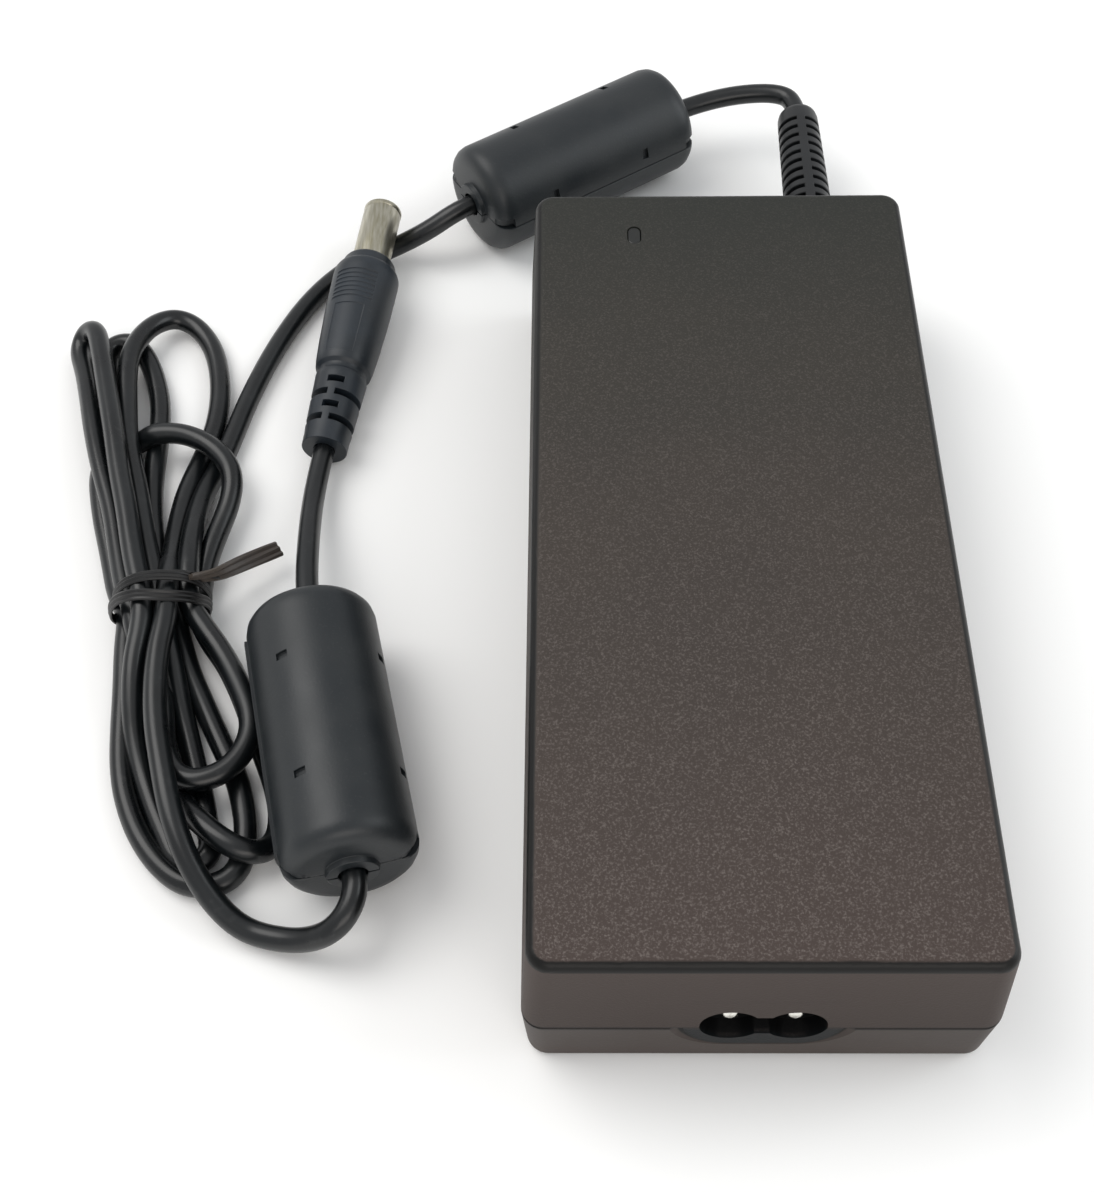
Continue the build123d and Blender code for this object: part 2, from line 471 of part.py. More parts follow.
TRAFO = (-1.0, 20.0)
TRAFO_H = HEADROOM - TRAFO_CLEAR - TRAFO_STAND
WINDOW_FOOT = BOARD_TOP + TRAFO_STAND + (TRAFO_H - WINDOW_H) / 2
BOBBIN_W = TRAFO_W - 2 * LEG - BOBBIN_GAP       # between the core's outer legs
SLEEVE_W, SLEEVE_L = MIDDLE_LEG + 2 * SLEEVE_GAP + 2 * SLEEVE_T, TRAFO_DEPTH + 2 * SLEEVE_T + CORE_GAP
with BuildPart() as transformer_core:
    block(*TRAFO, TRAFO_W, TRAFO_DEPTH, TRAFO_H, z=BOARD_TOP + TRAFO_STAND)
    for side in (-1, 1):
        with Locations((TRAFO[0] + side * (TRAFO_W / 4), TRAFO[1], WINDOW_FOOT + WINDOW_H / 2)):
            Box((TRAFO_W - MIDDLE_LEG) / 2 - LEG, TRAFO_DEPTH + OUTSIDE, WINDOW_H,
                mode=Mode.SUBTRACT)
keep(transformer_core, "transformer_core")

with BuildPart() as transformer_windings:
    with BuildSketch(Plane.XY.offset(WINDOW_FOOT + BOBBIN_T + WINDING_GAP)):
        with Locations(TRAFO):
            RectangleRounded(BOBBIN_W - WINDING_MARGIN, TRAFO_L, WINDING_CORNER)
            Rectangle(SLEEVE_W + 2 * WINDING_GAP, SLEEVE_L + 2 * WINDING_GAP, mode=Mode.SUBTRACT)
    extrude(amount=WINDOW_H - 2 * (BOBBIN_T + WINDING_GAP))
keep(transformer_windings, "transformer_windings")

with BuildPart() as transformer_bobbin:
    # two flanges and the sleeve between them, round the core's middle leg
    for z in (0, WINDOW_H - BOBBIN_T):
        with BuildSketch(Plane.XY.offset(WINDOW_FOOT + z)):
            with Locations(TRAFO):
                RectangleRounded(BOBBIN_W, TRAFO_L + BOBBIN_MARGIN, BOBBIN_CORNER)
                Rectangle(SLEEVE_W - 2 * SLEEVE_T, SLEEVE_L - 2 * SLEEVE_T, mode=Mode.SUBTRACT)
        extrude(amount=BOBBIN_T)
    with BuildSketch(Plane.XY.offset(WINDOW_FOOT)):
        with Locations(TRAFO):
            Rectangle(SLEEVE_W, SLEEVE_L)
            Rectangle(SLEEVE_W - 2 * SLEEVE_T, SLEEVE_L - 2 * SLEEVE_T, mode=Mode.SUBTRACT)
    extrude(amount=WINDOW_H)
    # pin rails down to the board on both sides
    for side in (-1, 1):
        block(TRAFO[0], TRAFO[1] + side * (TRAFO_L - RAIL_W + BOBBIN_MARGIN) / 2, BOBBIN_W, RAIL_W,
              WINDOW_FOOT - BOARD_TOP + BOBBIN_T / 2)
keep(transformer_bobbin, "transformer_bobbin")

with BuildPart() as bypass_capacitor:
    disc(20.5, 20.0, BYPASS_R, BYPASS_T, BYPASS_EDGE, bypass_capacitor)
keep(bypass_capacitor, "bypass_capacitor")

with BuildPart() as optocoupler:
    block(21.0, 10.0, 6.4, 4.6, 3.2)
keep(optocoupler, "optocoupler")

with BuildPart() as controller_chip:
    block(-20.0, 13.0, 4.9, 5.8, 1.5)
keep(controller_chip, "controller_chip")

with BuildPart() as secondary_heatsink:
    block(-2.0, SECOND_SINK_Y, 46.0, SINK_T, SINK_H)
keep(secondary_heatsink, "secondary_heatsink")

RECTIFIER_X, RECTIFIER_Y = 6.0, SECOND_SINK_Y + SINK_T / 2
with BuildPart() as output_rectifier:
    block(RECTIFIER_X, RECTIFIER_Y + PACKAGE_T / 2, PACKAGE_W, PACKAGE_T, PACKAGE_H,
          z=BOARD_TOP + LEAD_STAND)
    block(RECTIFIER_X, RECTIFIER_Y + TAB_T / 2, PACKAGE_W, TAB_T, TAB_H, z=BOARD_TOP + TAB_FOOT)
    for lead in (-LEAD_PITCH, 0.0, LEAD_PITCH):
        block(RECTIFIER_X + lead, RECTIFIER_Y + PACKAGE_T / 2, LEAD_W, LEAD_T, LEAD_STAND)
keep(output_rectifier, "output_rectifier")

with BuildPart() as heatsink_screws:
    for x, y, turn in ((SWITCH_X + TAB_T, SWITCH_Y, (0, 90, 0)),
                       (RECTIFIER_X, RECTIFIER_Y + TAB_T, (-90, 0, 0))):
        with Locations(Location((x, y, BOARD_TOP + SINK_H - SCREW_DROP), turn)):
            Cylinder(SCREW_R, SCREW_HEAD, align=(Align.CENTER, Align.CENTER, Align.MIN))
keep(heatsink_screws, "heatsink_screws")

with BuildPart() as output_capacitors:
    with Locations((3.0, 49.5, BOARD_TOP)):
        with GridLocations(OUTPUT_CAN_PITCH, 0, 3, 1):
            Cylinder(OUTPUT_CAN_R, HEADROOM - CAPACITOR_CLEAR,
                     align=(Align.CENTER, Align.CENTER, Align.MIN))
    fillet(output_capacitors.edges().filter_by(GeomType.CIRCLE).group_by(Axis.Z)[-1], 0.6)
keep(output_capacitors, "output_capacitors")

with BuildPart() as output_choke:
    with Locations(Location((-17.0, 48.0, BOARD_TOP + COIL_R), (90, 0, 0))):
        Cylinder(COIL_R, COIL_L)
        Cylinder(ROD_R, ROD_L)
keep(output_choke, "output_choke")

# ------------------------------------------------------------------ strain relief
# It is moulded on the cord.  Its collar sits inside the wall and its neck fills the hole.
COLLAR_END = BACK - WALL - inner_lean(RELIEF_Z + RELIEF_COLLAR_R) - RELIEF_GAP
RELIEF_START = COLLAR_END - RELIEF_COLLAR_T
RELIEF_TIP = BACK + RELIEF_LENGTH


def along_y(start, end, r_start, r_end, mode=Mode.ADD):
    """A cylinder or cone about the strain relief's axis."""
    with BuildSketch(Plane(origin=(RELIEF_X, start, RELIEF_Z), z_dir=(0, 1, 0))) as near_end:
        Circle(r_start)
    with BuildSketch(Plane(origin=(RELIEF_X, end, RELIEF_Z), z_dir=(0, 1, 0))) as far_end:
        Circle(r_end)
    loft([near_end.sketch, far_end.sketch], mode=mode)


with BuildPart() as strain_relief:
    along_y(RELIEF_START, COLLAR_END, RELIEF_COLLAR_R, RELIEF_COLLAR_R)
    along_y(COLLAR_END, BACK, RELIEF_NECK_R, RELIEF_NECK_R)
    along_y(BACK, RELIEF_TIP, RELIEF_BASE_R, RELIEF_TIP_R)
    fillet(strain_relief.edges().filter_by(GeomType.CIRCLE).sort_by(Axis.Y)[-1], RELIEF_TIP_EDGE)
    # rows of slots, turned a quarter from one row to the next, that let it bend
    for row in range(RIB_COUNT):
        y = BACK + RIB_FIRST + row * RIB_PITCH
        turn = 90 * (row % 2)
        with Locations(Location((RELIEF_X, y, RELIEF_Z), (0, turn, 0))):
            with Locations(Location((0, 0, RIB_CORE_R)), Location((0, 0, -RIB_CORE_R), (180, 0, 0))):
                Box(RIB_WIDTH, RIB_SLOT, RELIEF_BASE_R, align=(Align.CENTER, Align.CENTER, Align.MIN),
                    mode=Mode.SUBTRACT)
keep(strain_relief, "strain_relief")

with BuildPart() as output_leads:
    for side in (-1, 1):
        lead_x = RELIEF_X + side * OUTPUT_LEAD_APART / 2
        with BuildLine() as lead_path:
            lead_points = [(lead_x, RELIEF_START, RELIEF_Z),
                           (lead_x, RELIEF_START - OUTPUT_LEAD_REACH, RELIEF_Z),
                           (lead_x, RELIEF_START - OUTPUT_LEAD_REACH, BOARD_TOP)]
            FilletPolyline(*lead_points, radius=OUTPUT_LEAD_BEND)
        with BuildSketch(Plane(origin=lead_points[0], z_dir=(0, -1, 0))):
            Circle(OUTPUT_LEAD_R)
        sweep(path=lead_path.wires()[0])
keep(output_leads, "output_leads")


# ------------------------------------------------------------------ clip-on ferrites
def ferrite_plane(centre, turn):
    """Plane whose Z runs along the case's bore and whose Y points up."""
    axis = (cos(radians(turn)), sin(radians(turn)), 0)
    return Plane(origin=(*centre, FERRITE_R), x_dir=(sin(radians(turn)), -cos(radians(turn)), 0),
                 z_dir=axis)


def half_cut(plane, upper, gap):
    """Cut away the half of a ferrite piece on the other side of its parting plane."""
    sign = 1 if upper else -1
    size = 3 * FERRITE_R
    with BuildSketch(plane.offset(-FERRITE_LENGTH)) as other_half:
        with Locations((0, -sign * (size / 2 - gap / 2))):
            Rectangle(2 * size, size)
    extrude(other_half.sketch, amount=2 * FERRITE_LENGTH, mode=Mode.SUBTRACT)


def ferrite(name, centre, turn):
    plane = ferrite_plane(centre, turn)
    core_length = FERRITE_LENGTH - 2 * FERRITE_CORE_END
    core_r = FERRITE_R - FERRITE_WALL
    for upper, side in ((True, "upper"), (False, "lower")):
        with BuildPart() as case_half:
            with BuildSketch(plane.offset(-FERRITE_LENGTH / 2)):
                Circle(FERRITE_R)
            extrude(amount=FERRITE_LENGTH)
            fillet(case_half.edges().filter_by(GeomType.CIRCLE), FERRITE_FILLET)
            with BuildSketch(plane.offset(-core_length / 2)):
                Circle(core_r)
            extrude(amount=core_length, mode=Mode.SUBTRACT)
            with BuildSketch(plane.offset(-FERRITE_LENGTH)):
                Circle(FERRITE_BORE_R)
            extrude(amount=2 * FERRITE_LENGTH, mode=Mode.SUBTRACT)
            half_cut(plane, upper, FERRITE_SEAM_GAP)
        keep(case_half, f"{name}_case_{side}")
        with BuildPart() as core_half:
            with BuildSketch(plane.offset(-core_length / 2 + FERRITE_CORE_GAP)):
                Circle(core_r - FERRITE_CORE_GAP)
                Circle(FERRITE_BORE_R, mode=Mode.SUBTRACT)
            extrude(amount=core_length - 2 * FERRITE_CORE_GAP)
            half_cut(plane, upper, FERRITE_SEAM_GAP)
        keep(core_half, f"{name}_core_{side}")
    return plane


ferrite_a_plane = ferrite("ferrite_a", FERRITE_A, FERRITE_A_TURN)
ferrite_b_plane = ferrite("ferrite_b", FERRITE_B, FERRITE_B_TURN)

# ------------------------------------------------------------------ DC plug
PLUG_AXIS = (PLUG_TIP - PLUG_TAIL).normalized()
PLUG_LENGTH = (PLUG_TIP - PLUG_TAIL).length
MOULD_LENGTH = PLUG_LENGTH - BARREL_LENGTH
plug_plane = Plane(origin=PLUG_TAIL, x_dir=PLUG_AXIS, z_dir=PLUG_AXIS.cross(Vector(1, 0, 0)))
# in plug_plane, X runs from the tail to the tip and a profile is drawn above that axis


def turned(outline, mode=Mode.ADD):
    """Revolve an outline of (distance from tail, radius) points about the plug's axis."""
    with BuildSketch(plug_plane) as profile:
        with BuildLine():
            Polyline(*outline, close=True)
        make_face()
    revolve(profile.sketch, axis=Axis(plug_plane.origin, plug_plane.x_dir), mode=mode)


def sleeve(start, end, r_in, r_out):
    turned([(start, r_in), (end, r_in), (end, r_out), (start, r_out)])


with BuildPart() as plug_moulding:
    turned([(0, 0), (0, TAIL_FLANGE_R - 2 * PLUG_EDGE), (PLUG_EDGE, TAIL_FLANGE_R),
            (TAIL_FLANGE_T, TAIL_FLANGE_R), (TAIL_FLANGE_T + PLUG_EDGE, TAIL_NECK_R),
            (BOOT_START - PLUG_EDGE, TAIL_NECK_R), (BOOT_START, BOOT_TAIL_R),
            (BOOT_END, BOOT_END_R), (BOOT_END + PLUG_EDGE, WAIST_R),
            (GRIP_START - PLUG_EDGE, WAIST_R), (GRIP_START, GRIP_START_R),
            (GRIP_MID, GRIP_MID_R), (GRIP_FRONT, GRIP_R), (SHOULDER, SHOULDER_R),
            (MOULD_LENGTH - NOSE_LENGTH, NOSE_R), (MOULD_LENGTH - PLUG_EDGE, NOSE_R),
            (MOULD_LENGTH, NOSE_R - PLUG_EDGE), (MOULD_LENGTH, 0)])
    turned([(MOULD_LENGTH - BARREL_ROOT, 0), (MOULD_LENGTH + OUTSIDE, 0),
            (MOULD_LENGTH + OUTSIDE, BARREL_ROOT_R + PLUG_FIT),
            (MOULD_LENGTH - BARREL_ROOT, BARREL_ROOT_R + PLUG_FIT)], mode=Mode.SUBTRACT)
    # slots of the bending boot, a quarter turn from row to row
    for row in range(BOOT_ROWS):
        slot_plane = Plane(origin=PLUG_TAIL + PLUG_AXIS * (BOOT_ROW_FIRST + BOOT_PITCH * row),
                           x_dir=plug_plane.y_dir, z_dir=PLUG_AXIS)
        with BuildSketch(slot_plane):
            for side in (0, 180):
                with PolarLocations(BOOT_CORE_R, 1, start_angle=BOOT_TURN + 90 * (row % 2) + side):
                    Rectangle(BOOT_END_R, BOOT_SLOT_W, align=(Align.MIN, Align.CENTER))
        extrude(amount=BOOT_SLOT, mode=Mode.SUBTRACT)
keep(plug_moulding, "plug_moulding")

BARREL_START = MOULD_LENGTH - BARREL_ROOT
with BuildPart() as plug_barrel:
    turned([(BARREL_START, BARREL_BORE_R), (PLUG_LENGTH - BARREL_LIP, BARREL_BORE_R),
            (PLUG_LENGTH, BARREL_BORE_R + BARREL_LIP), (PLUG_LENGTH, BARREL_R - BARREL_LIP),
            (PLUG_LENGTH - BARREL_LIP, BARREL_R), (MOULD_LENGTH, BARREL_R),
            (MOULD_LENGTH, BARREL_ROOT_R), (BARREL_START, BARREL_ROOT_R)])
keep(plug_barrel, "plug_barrel")

with BuildPart() as plug_insulator:
    sleeve(BARREL_START, PLUG_LENGTH - INSULATOR_SUNK, INSULATOR_BORE_R, BARREL_BORE_R - PLUG_FIT)
    sleeve(BARREL_START, BARREL_START + INSULATOR_BASE, PIN_CONTACT_R + PLUG_FIT, INSULATOR_BORE_R)
keep(plug_insulator, "plug_insulator")

with BuildPart() as plug_inner_contact:
    sleeve(BARREL_START + INSULATOR_BASE, PLUG_LENGTH - CONTACT_SUNK, CONTACT_BORE_R, CONTACT_R)
keep(plug_inner_contact, "plug_inner_contact")

with BuildPart() as plug_signal_pin:
    turned([(BARREL_START, 0), (BARREL_START, PIN_CONTACT_R),
            (PLUG_LENGTH - SIGNAL_PIN_SUNK - SIGNAL_PIN_NOSE, PIN_CONTACT_R),
            (PLUG_LENGTH - SIGNAL_PIN_SUNK, 0)])
keep(plug_signal_pin, "plug_signal_pin")

# ------------------------------------------------------------------ tied hank
with BuildPart() as cord_hank:
    with BuildSketch(Plane.XY):
        with BuildLine():
            FilletPolyline(*HANK_OUTLINE, radius=closed_radii(HANK_OUTLINE), close=True)
        make_face()
    extrude(amount=HANK_HEIGHT)
    fillet(cord_hank.faces().sort_by(Axis.Z)[-1].edges(), HANK_EDGE)
    middle, reach = (TIE_LEFT + TIE_RIGHT) / 2, (TIE_RIGHT - TIE_LEFT) / 2 - TIE_T - TIE_GAP
    # the strands are drawn in where the tie passes round them, and stand up highest there
    with Locations((middle, TIE_Y, 0)):
        Box(4 * reach, TIE_WIDTH + 2 * TIE_GAP, 4 * WAIST_TOP, mode=Mode.SUBTRACT)
    with BuildSketch(Plane((middle, TIE_Y + WAIST_HALF, 0), (1, 0, 0), (0, -1, 0))):
        with Locations((0, WAIST_TOP / 2 + TIE_T / 2 + TIE_GAP / 2)):
            RectangleRounded(2 * reach, WAIST_TOP - TIE_T - TIE_GAP, WAIST_CORNER)
    extrude(amount=2 * WAIST_HALF)
    # ferrite B lies against the hank's side
    with BuildSketch(ferrite_b_plane.offset(-FERRITE_LENGTH / 2 - OUTSIDE)):
        Circle(FERRITE_R + HANK_GAP)
    extrude(amount=FERRITE_LENGTH + 2 * OUTSIDE, mode=Mode.SUBTRACT)
keep(cord_hank, "cord_hank")

with BuildPart() as twist_tie:
    outer_w, outer_h = TIE_RIGHT - TIE_LEFT, WAIST_TOP + TIE_T + TIE_GAP
    with BuildSketch(Plane(((TIE_LEFT + TIE_RIGHT) / 2, TIE_Y + TIE_WIDTH / 2, 0), (1, 0, 0),
                           (0, -1, 0))):
        with Locations((0, outer_h / 2)):
            RectangleRounded(outer_w, outer_h, WAIST_CORNER + TIE_T + TIE_GAP)
            RectangleRounded(outer_w - 2 * TIE_T, outer_h - 2 * TIE_T, WAIST_CORNER + TIE_GAP,
                             mode=Mode.SUBTRACT)
    extrude(amount=TIE_WIDTH)
    with BuildLine() as tail_path:
        FilletPolyline(*TIE_TAIL, radius=TIE_BEND)
    tail_start = Vector(*TIE_TAIL[1]) - Vector(*TIE_TAIL[0])
    with BuildSketch(Plane(origin=TIE_TAIL[0], x_dir=tail_start.cross(Vector(0, 0, 1)),
                           z_dir=tail_start)):
        Rectangle(TIE_TAIL_T, TIE_TAIL_W)
    sweep(path=tail_path.wires()[0])
keep(twist_tie, "twist_tie")


# ------------------------------------------------------------------ cord tubes
def cord_tube(route):
    """Round tube along straight runs joined by the widest tangent arcs that fit."""
    radii = corner_radii(route)
    print("arc radii in cord diameters:", [round(r / (2 * CORD_R), 1) for r in radii])
    with BuildLine() as path:
        FilletPolyline(*route, radius=radii)
    line = path.wires()[0]
    start = Vector(*route[0])
    with BuildSketch(Plane(origin=start, z_dir=Vector(*route[1]) - start)) as round_section:
        Circle(CORD_R)
    print("tube length", round(line.length, 1), "mm")
    return line, round_section.sketch


lead_line, lead_section = cord_tube(LEAD_ROUTE)
with BuildPart() as cord_lead:
    sweep(sections=lead_section, path=lead_line)
    add(cord_hank.part, mode=Mode.SUBTRACT)
keep(cord_lead, "cord_lead")

tail_line, tail_section = cord_tube(TAIL_ROUTE)
with BuildPart() as cord_tail:
    sweep(sections=tail_section, path=tail_line)
    add(cord_hank.part, mode=Mode.SUBTRACT)
keep(cord_tail, "cord_tail")
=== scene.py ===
"""Looks of a laptop power adapter: brick, tied DC cord, two clip-on ferrites and a barrel plug."""

from math import atan2, cos, degrees, radians, sin

import bmesh
import bpy
from mathutils import Matrix, Vector


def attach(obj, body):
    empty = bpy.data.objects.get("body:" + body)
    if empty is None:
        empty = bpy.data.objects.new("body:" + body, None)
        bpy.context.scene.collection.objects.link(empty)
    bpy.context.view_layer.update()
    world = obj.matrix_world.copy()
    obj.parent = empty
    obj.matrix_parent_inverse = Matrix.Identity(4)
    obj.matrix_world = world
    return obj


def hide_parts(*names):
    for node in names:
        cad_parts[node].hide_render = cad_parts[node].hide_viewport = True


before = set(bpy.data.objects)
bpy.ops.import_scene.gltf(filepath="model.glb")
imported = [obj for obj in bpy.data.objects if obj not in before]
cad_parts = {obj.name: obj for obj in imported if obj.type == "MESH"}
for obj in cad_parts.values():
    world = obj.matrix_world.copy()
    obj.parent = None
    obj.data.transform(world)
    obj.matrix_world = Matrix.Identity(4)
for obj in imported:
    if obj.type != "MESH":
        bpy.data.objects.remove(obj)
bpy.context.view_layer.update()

MM = 0.001
CURVE_STEPS = 8                          # steps from one control point of a cord to the next
NEAR_END, FAR_END = -71 * MM, 71 * MM    # the brick's two ends
INLET_HEIGHT = 12.3 * MM                 # the middle of the mains inlet
INLET_LINE = 4.4 * MM                    # half the straight middle line of the inlet's oval


# ---------------------------------------------------------------- camera and softboxes
def stand_camera():
    """A long lens over the front end of the brick, looking down its length."""
    lens = bpy.data.cameras.new("camera")
    lens.lens, lens.sensor_width = 51.37, 36.0
    lens.clip_start, lens.clip_end = 0.01, 20.0
    camera = bpy.data.objects.new("camera", lens)
    camera.location = (-0.0248, -0.1531, 0.2265)
    camera.rotation_euler = (radians(35.17), radians(0.79), radians(0.36))
    bpy.context.collection.objects.link(camera)
    bpy.context.scene.camera = camera


def hang_softbox(name, place, aim, width, height, power, tint):
    """A large rectangular softbox that faces the point aim."""
    light = bpy.data.lights.new(name, "AREA")
    light.shape, light.size, light.size_y = "RECTANGLE", width, height
    light.energy, light.color = power, tint
    box = bpy.data.objects.new(name, light)
    box.location = place
    box.rotation_euler = (Vector(aim) - Vector(place)).to_track_quat("-Z", "Y").to_euler()
    bpy.context.collection.objects.link(box)


stand_camera()
bpy.context.scene.view_settings.view_transform = "Standard"
hang_softbox("key_softbox", place=(-0.55, 0.25, 0.85), aim=(-0.02, 0.02, 0.0),
             width=0.7, height=0.7, power=4.8, tint=(1.0, 0.985, 0.96))
hang_softbox("front_softbox", place=(0.15, -0.9, 0.55), aim=(0.0, 0.0, 0.01),
             width=0.9, height=0.5, power=2.6, tint=(1.0, 0.94, 0.88))
hang_softbox("side_softbox", place=(0.8, 0.1, 0.5), aim=(0.0, 0.0, 0.0),
             width=0.5, height=0.8, power=2.6, tint=(0.93, 0.98, 1.0))


# ---------------------------------------------------------------- colours, nodes and masks
def linear(code):
    """A sRGB hex code as the linear colour that a shader takes."""
    channels = [int(code[i:i + 2], 16) / 255 for i in (1, 3, 5)]
    return tuple(c / 12.92 if c <= 0.04045 else ((c + 0.055) / 1.055) ** 2.4
                 for c in channels) + (1.0,)


def put(tree, kind, inputs=None, **settings):
    """Add one node with its settings; an input is a value or the socket that feeds it."""
    node = tree.nodes.new(kind)
    for name, value in settings.items():
        setattr(node, name, value)
    for name, value in (inputs or {}).items():
        if isinstance(value, bpy.types.NodeSocket):
            tree.links.new(value, node.inputs[name])
        else:
            node.inputs[name].default_value = value
    return node


def blank_material(name):
    """An empty material: itself, its node tree, its shader and its object coordinates."""
    material = bpy.data.materials.new(name)
    material.use_nodes = True
    tree = material.node_tree
    place = put(tree, "ShaderNodeTexCoord").outputs["Object"]
    return material, tree, tree.nodes["Principled BSDF"], place


def mask_of(tree, value, *stops):
    """A mask that follows a value through its (value, mask) stops, and is level past them."""
    low, high = stops[0][0], stops[-1][0]
    share = put(tree, "ShaderNodeMapRange", {"Value": value, "From Min": low, "From Max": high})
    ramp = put(tree, "ShaderNodeValToRGB", {"Fac": share.outputs["Result"]})
    elements = ramp.color_ramp.elements
    for at, _ in stops[1:-1]:
        elements.new((at - low) / (high - low))
    for element, (_, grey) in zip(elements, stops):
        element.color = (grey, grey, grey, 1.0)
    return ramp.outputs["Color"]


def overlap(tree, *masks):
    """The mask that is left where all of these masks hold."""
    shared = masks[0]
    for mask in masks[1:]:
        shared = put(tree, "ShaderNodeMath", {0: shared, 1: mask},
                     operation="MULTIPLY").outputs[0]
    return shared


def coats(tree, ground, *layers):
    """A ground colour under (mask, colour) coats, each laid over the ones before it."""
    colour = linear(ground)
    for mask, tone in layers:
        colour = put(tree, "ShaderNodeMix", {0: mask, 6: colour, 7: linear(tone)},
                     data_type="RGBA").outputs[2]
    return colour


def far_from_inlet(tree, across, height):
    """How far a point of the front is from the middle line of the mains inlet."""
    sideways = across
    for operation, amount in (("ABSOLUTE", 0.0), ("SUBTRACT", INLET_LINE), ("MAXIMUM", 0.0)):
        sideways = put(tree, "ShaderNodeMath", {0: sideways, 1: amount},
                       operation=operation).outputs[0]
    upward = put(tree, "ShaderNodeMath", {0: height, 1: INLET_HEIGHT}, operation="SUBTRACT")
    offset = put(tree, "ShaderNodeCombineXYZ", {"X": sideways, "Y": upward.outputs[0]})
    return put(tree, "ShaderNodeVectorMath", {0: offset.outputs[0]},
               operation="LENGTH").outputs["Value"]


# ---------------------------------------------------------------- materials
def eroded_lid_plastic():
    """Polycarbonate-ABS lid, moulded in a spark-eroded tool whose edge radii were polished.

    The eye sees a warm charcoal top with pale specks, painted highlights where the grain faces up,
    closer together along the front edge, and a painted sheen that lightens the near end. Painted
    shade darkens the far end, the front face, a band at the parting line, the tongue's rim and the
    inside of the inlet's opening, and makes the glossy rounded edges near-black."""
    material, tree, shader, place = blank_material("eroded_pc_abs_lid")
    shader.inputs["Specular IOR Level"].default_value = 0.25
    across, along, height = put(tree, "ShaderNodeSeparateXYZ", {"Vector": place}).outputs
    normal = put(tree, "ShaderNodeNewGeometry").outputs["Normal"]
    facing_up = put(tree, "ShaderNodeSeparateXYZ", {"Vector": normal}).outputs["Z"]
    # The tool's grain is about 0.1 mm, too fine to show, so it is drawn three times as coarse.
    grit = put(tree, "ShaderNodeTexNoise", {"Vector": place, "Scale": 1.0 / (0.32 * MM),
                                            "Detail": 2.0, "Roughness": 0.7}).outputs["Fac"]
    handling = put(tree, "ShaderNodeTexNoise", {"Vector": place, "Scale": 1.0 / (26 * MM),
                                                "Detail": 5.0, "Roughness": 0.55}).outputs["Fac"]
    # The rounded edges: glossier, and painted near-black, painted shade on the fillets.
    round_edge = mask_of(tree, facing_up, (0.10, 0.0), (0.24, 1.0), (0.90, 1.0), (0.97, 0.0))
    # Painted highlights: pale specks where the grain faces up, more of them towards the near end.
    painted_grain_glints = overlap(tree, mask_of(tree, grit, (0.50, 0.0), (0.68, 1.0)),
                     mask_of(tree, facing_up, (0.93, 0.0), (0.985, 1.0)),
                     mask_of(tree, along, (-70 * MM, 0.27), (70 * MM, 0.04)))
    front = mask_of(tree, along, (-70.9 * MM, 1.0), (-69.4 * MM, 0.0))
    tongue = overlap(tree, front, mask_of(tree, height, (11.2 * MM, 1.0), (11.6 * MM, 0.0)))
    # The tongue's own edge has a radius of 6.1 mm, and the groove round it starts at 6.85.
    # Its rim is painted black, painted shade of the groove.
    tongue_rim_shade = overlap(tree, tongue, mask_of(tree, far_from_inlet(tree, across, height),
                                               (5.65 * MM, 0.0), (5.8 * MM, 1.0)))
    # Painted shade: a darker band along the parting line.
    seam_shade = mask_of(tree, height, (11.1 * MM, 0.0), (11.4 * MM, 0.85), (11.75 * MM, 0.85),
                   (12.1 * MM, 0.0))
    # Painted shade: near black inside the inlet's opening in the lid.
    recess_shade = overlap(
        tree, mask_of(tree, height, (19 * MM, 1.0), (20 * MM, 0.0)),
        mask_of(tree, across, (-10 * MM, 0.0), (-9.5 * MM, 1.0), (9.5 * MM, 1.0), (10 * MM, 0.0)),
        mask_of(tree, along, (-70.6 * MM, 0.0), (-70.2 * MM, 1.0), (-50 * MM, 1.0),
                (-49 * MM, 0.0)))
    colour = coats(
        tree, "#35312d",
        (mask_of(tree, handling, (0.35, 0.0), (0.68, 1.0)), "#39342f"),
        # Painted sheen lightens the near end; painted shade darkens and greens the far end.
        (mask_of(tree, along, (NEAR_END, 1.0), (-30 * MM, 0.45), (20 * MM, 0.0)), "#423834"),
        (mask_of(tree, along, (10 * MM, 0.0), (FAR_END, 0.8)), "#222623"),
        # Painted shade: the front face darker than the near top.
        (front, "#382f2b"), (painted_grain_glints, "#988f8a"), (round_edge, "#0d0c0b"), (tongue, "#0e1113"),
        (tongue_rim_shade, "#020202"), (seam_shade, "#161413"), (recess_shade, "#0b0b0c"))
    tree.links.new(colour, shader.inputs["Base Color"])
    satin = put(tree, "ShaderNodeMapRange", {"Value": round_edge, "To Min": 0.56,
                                             "To Max": 0.36}).outputs["Result"]
    rough = put(tree, "ShaderNodeMath", {0: handling, 1: 0.06, 2: satin},
                operation="MULTIPLY_ADD")
    tree.links.new(rough.outputs[0], shader.inputs["Roughness"])
    depth = put(tree, "ShaderNodeMapRange", {"Value": round_edge, "To Min": 0.5, "To Max": 0.12})
    bump = put(tree, "ShaderNodeBump", {"Height": grit, "Strength": depth.outputs["Result"],
                                        "Distance": 0.11 * MM})
    tree.links.new(bump.outputs["Normal"], shader.inputs["Normal"])
    return material


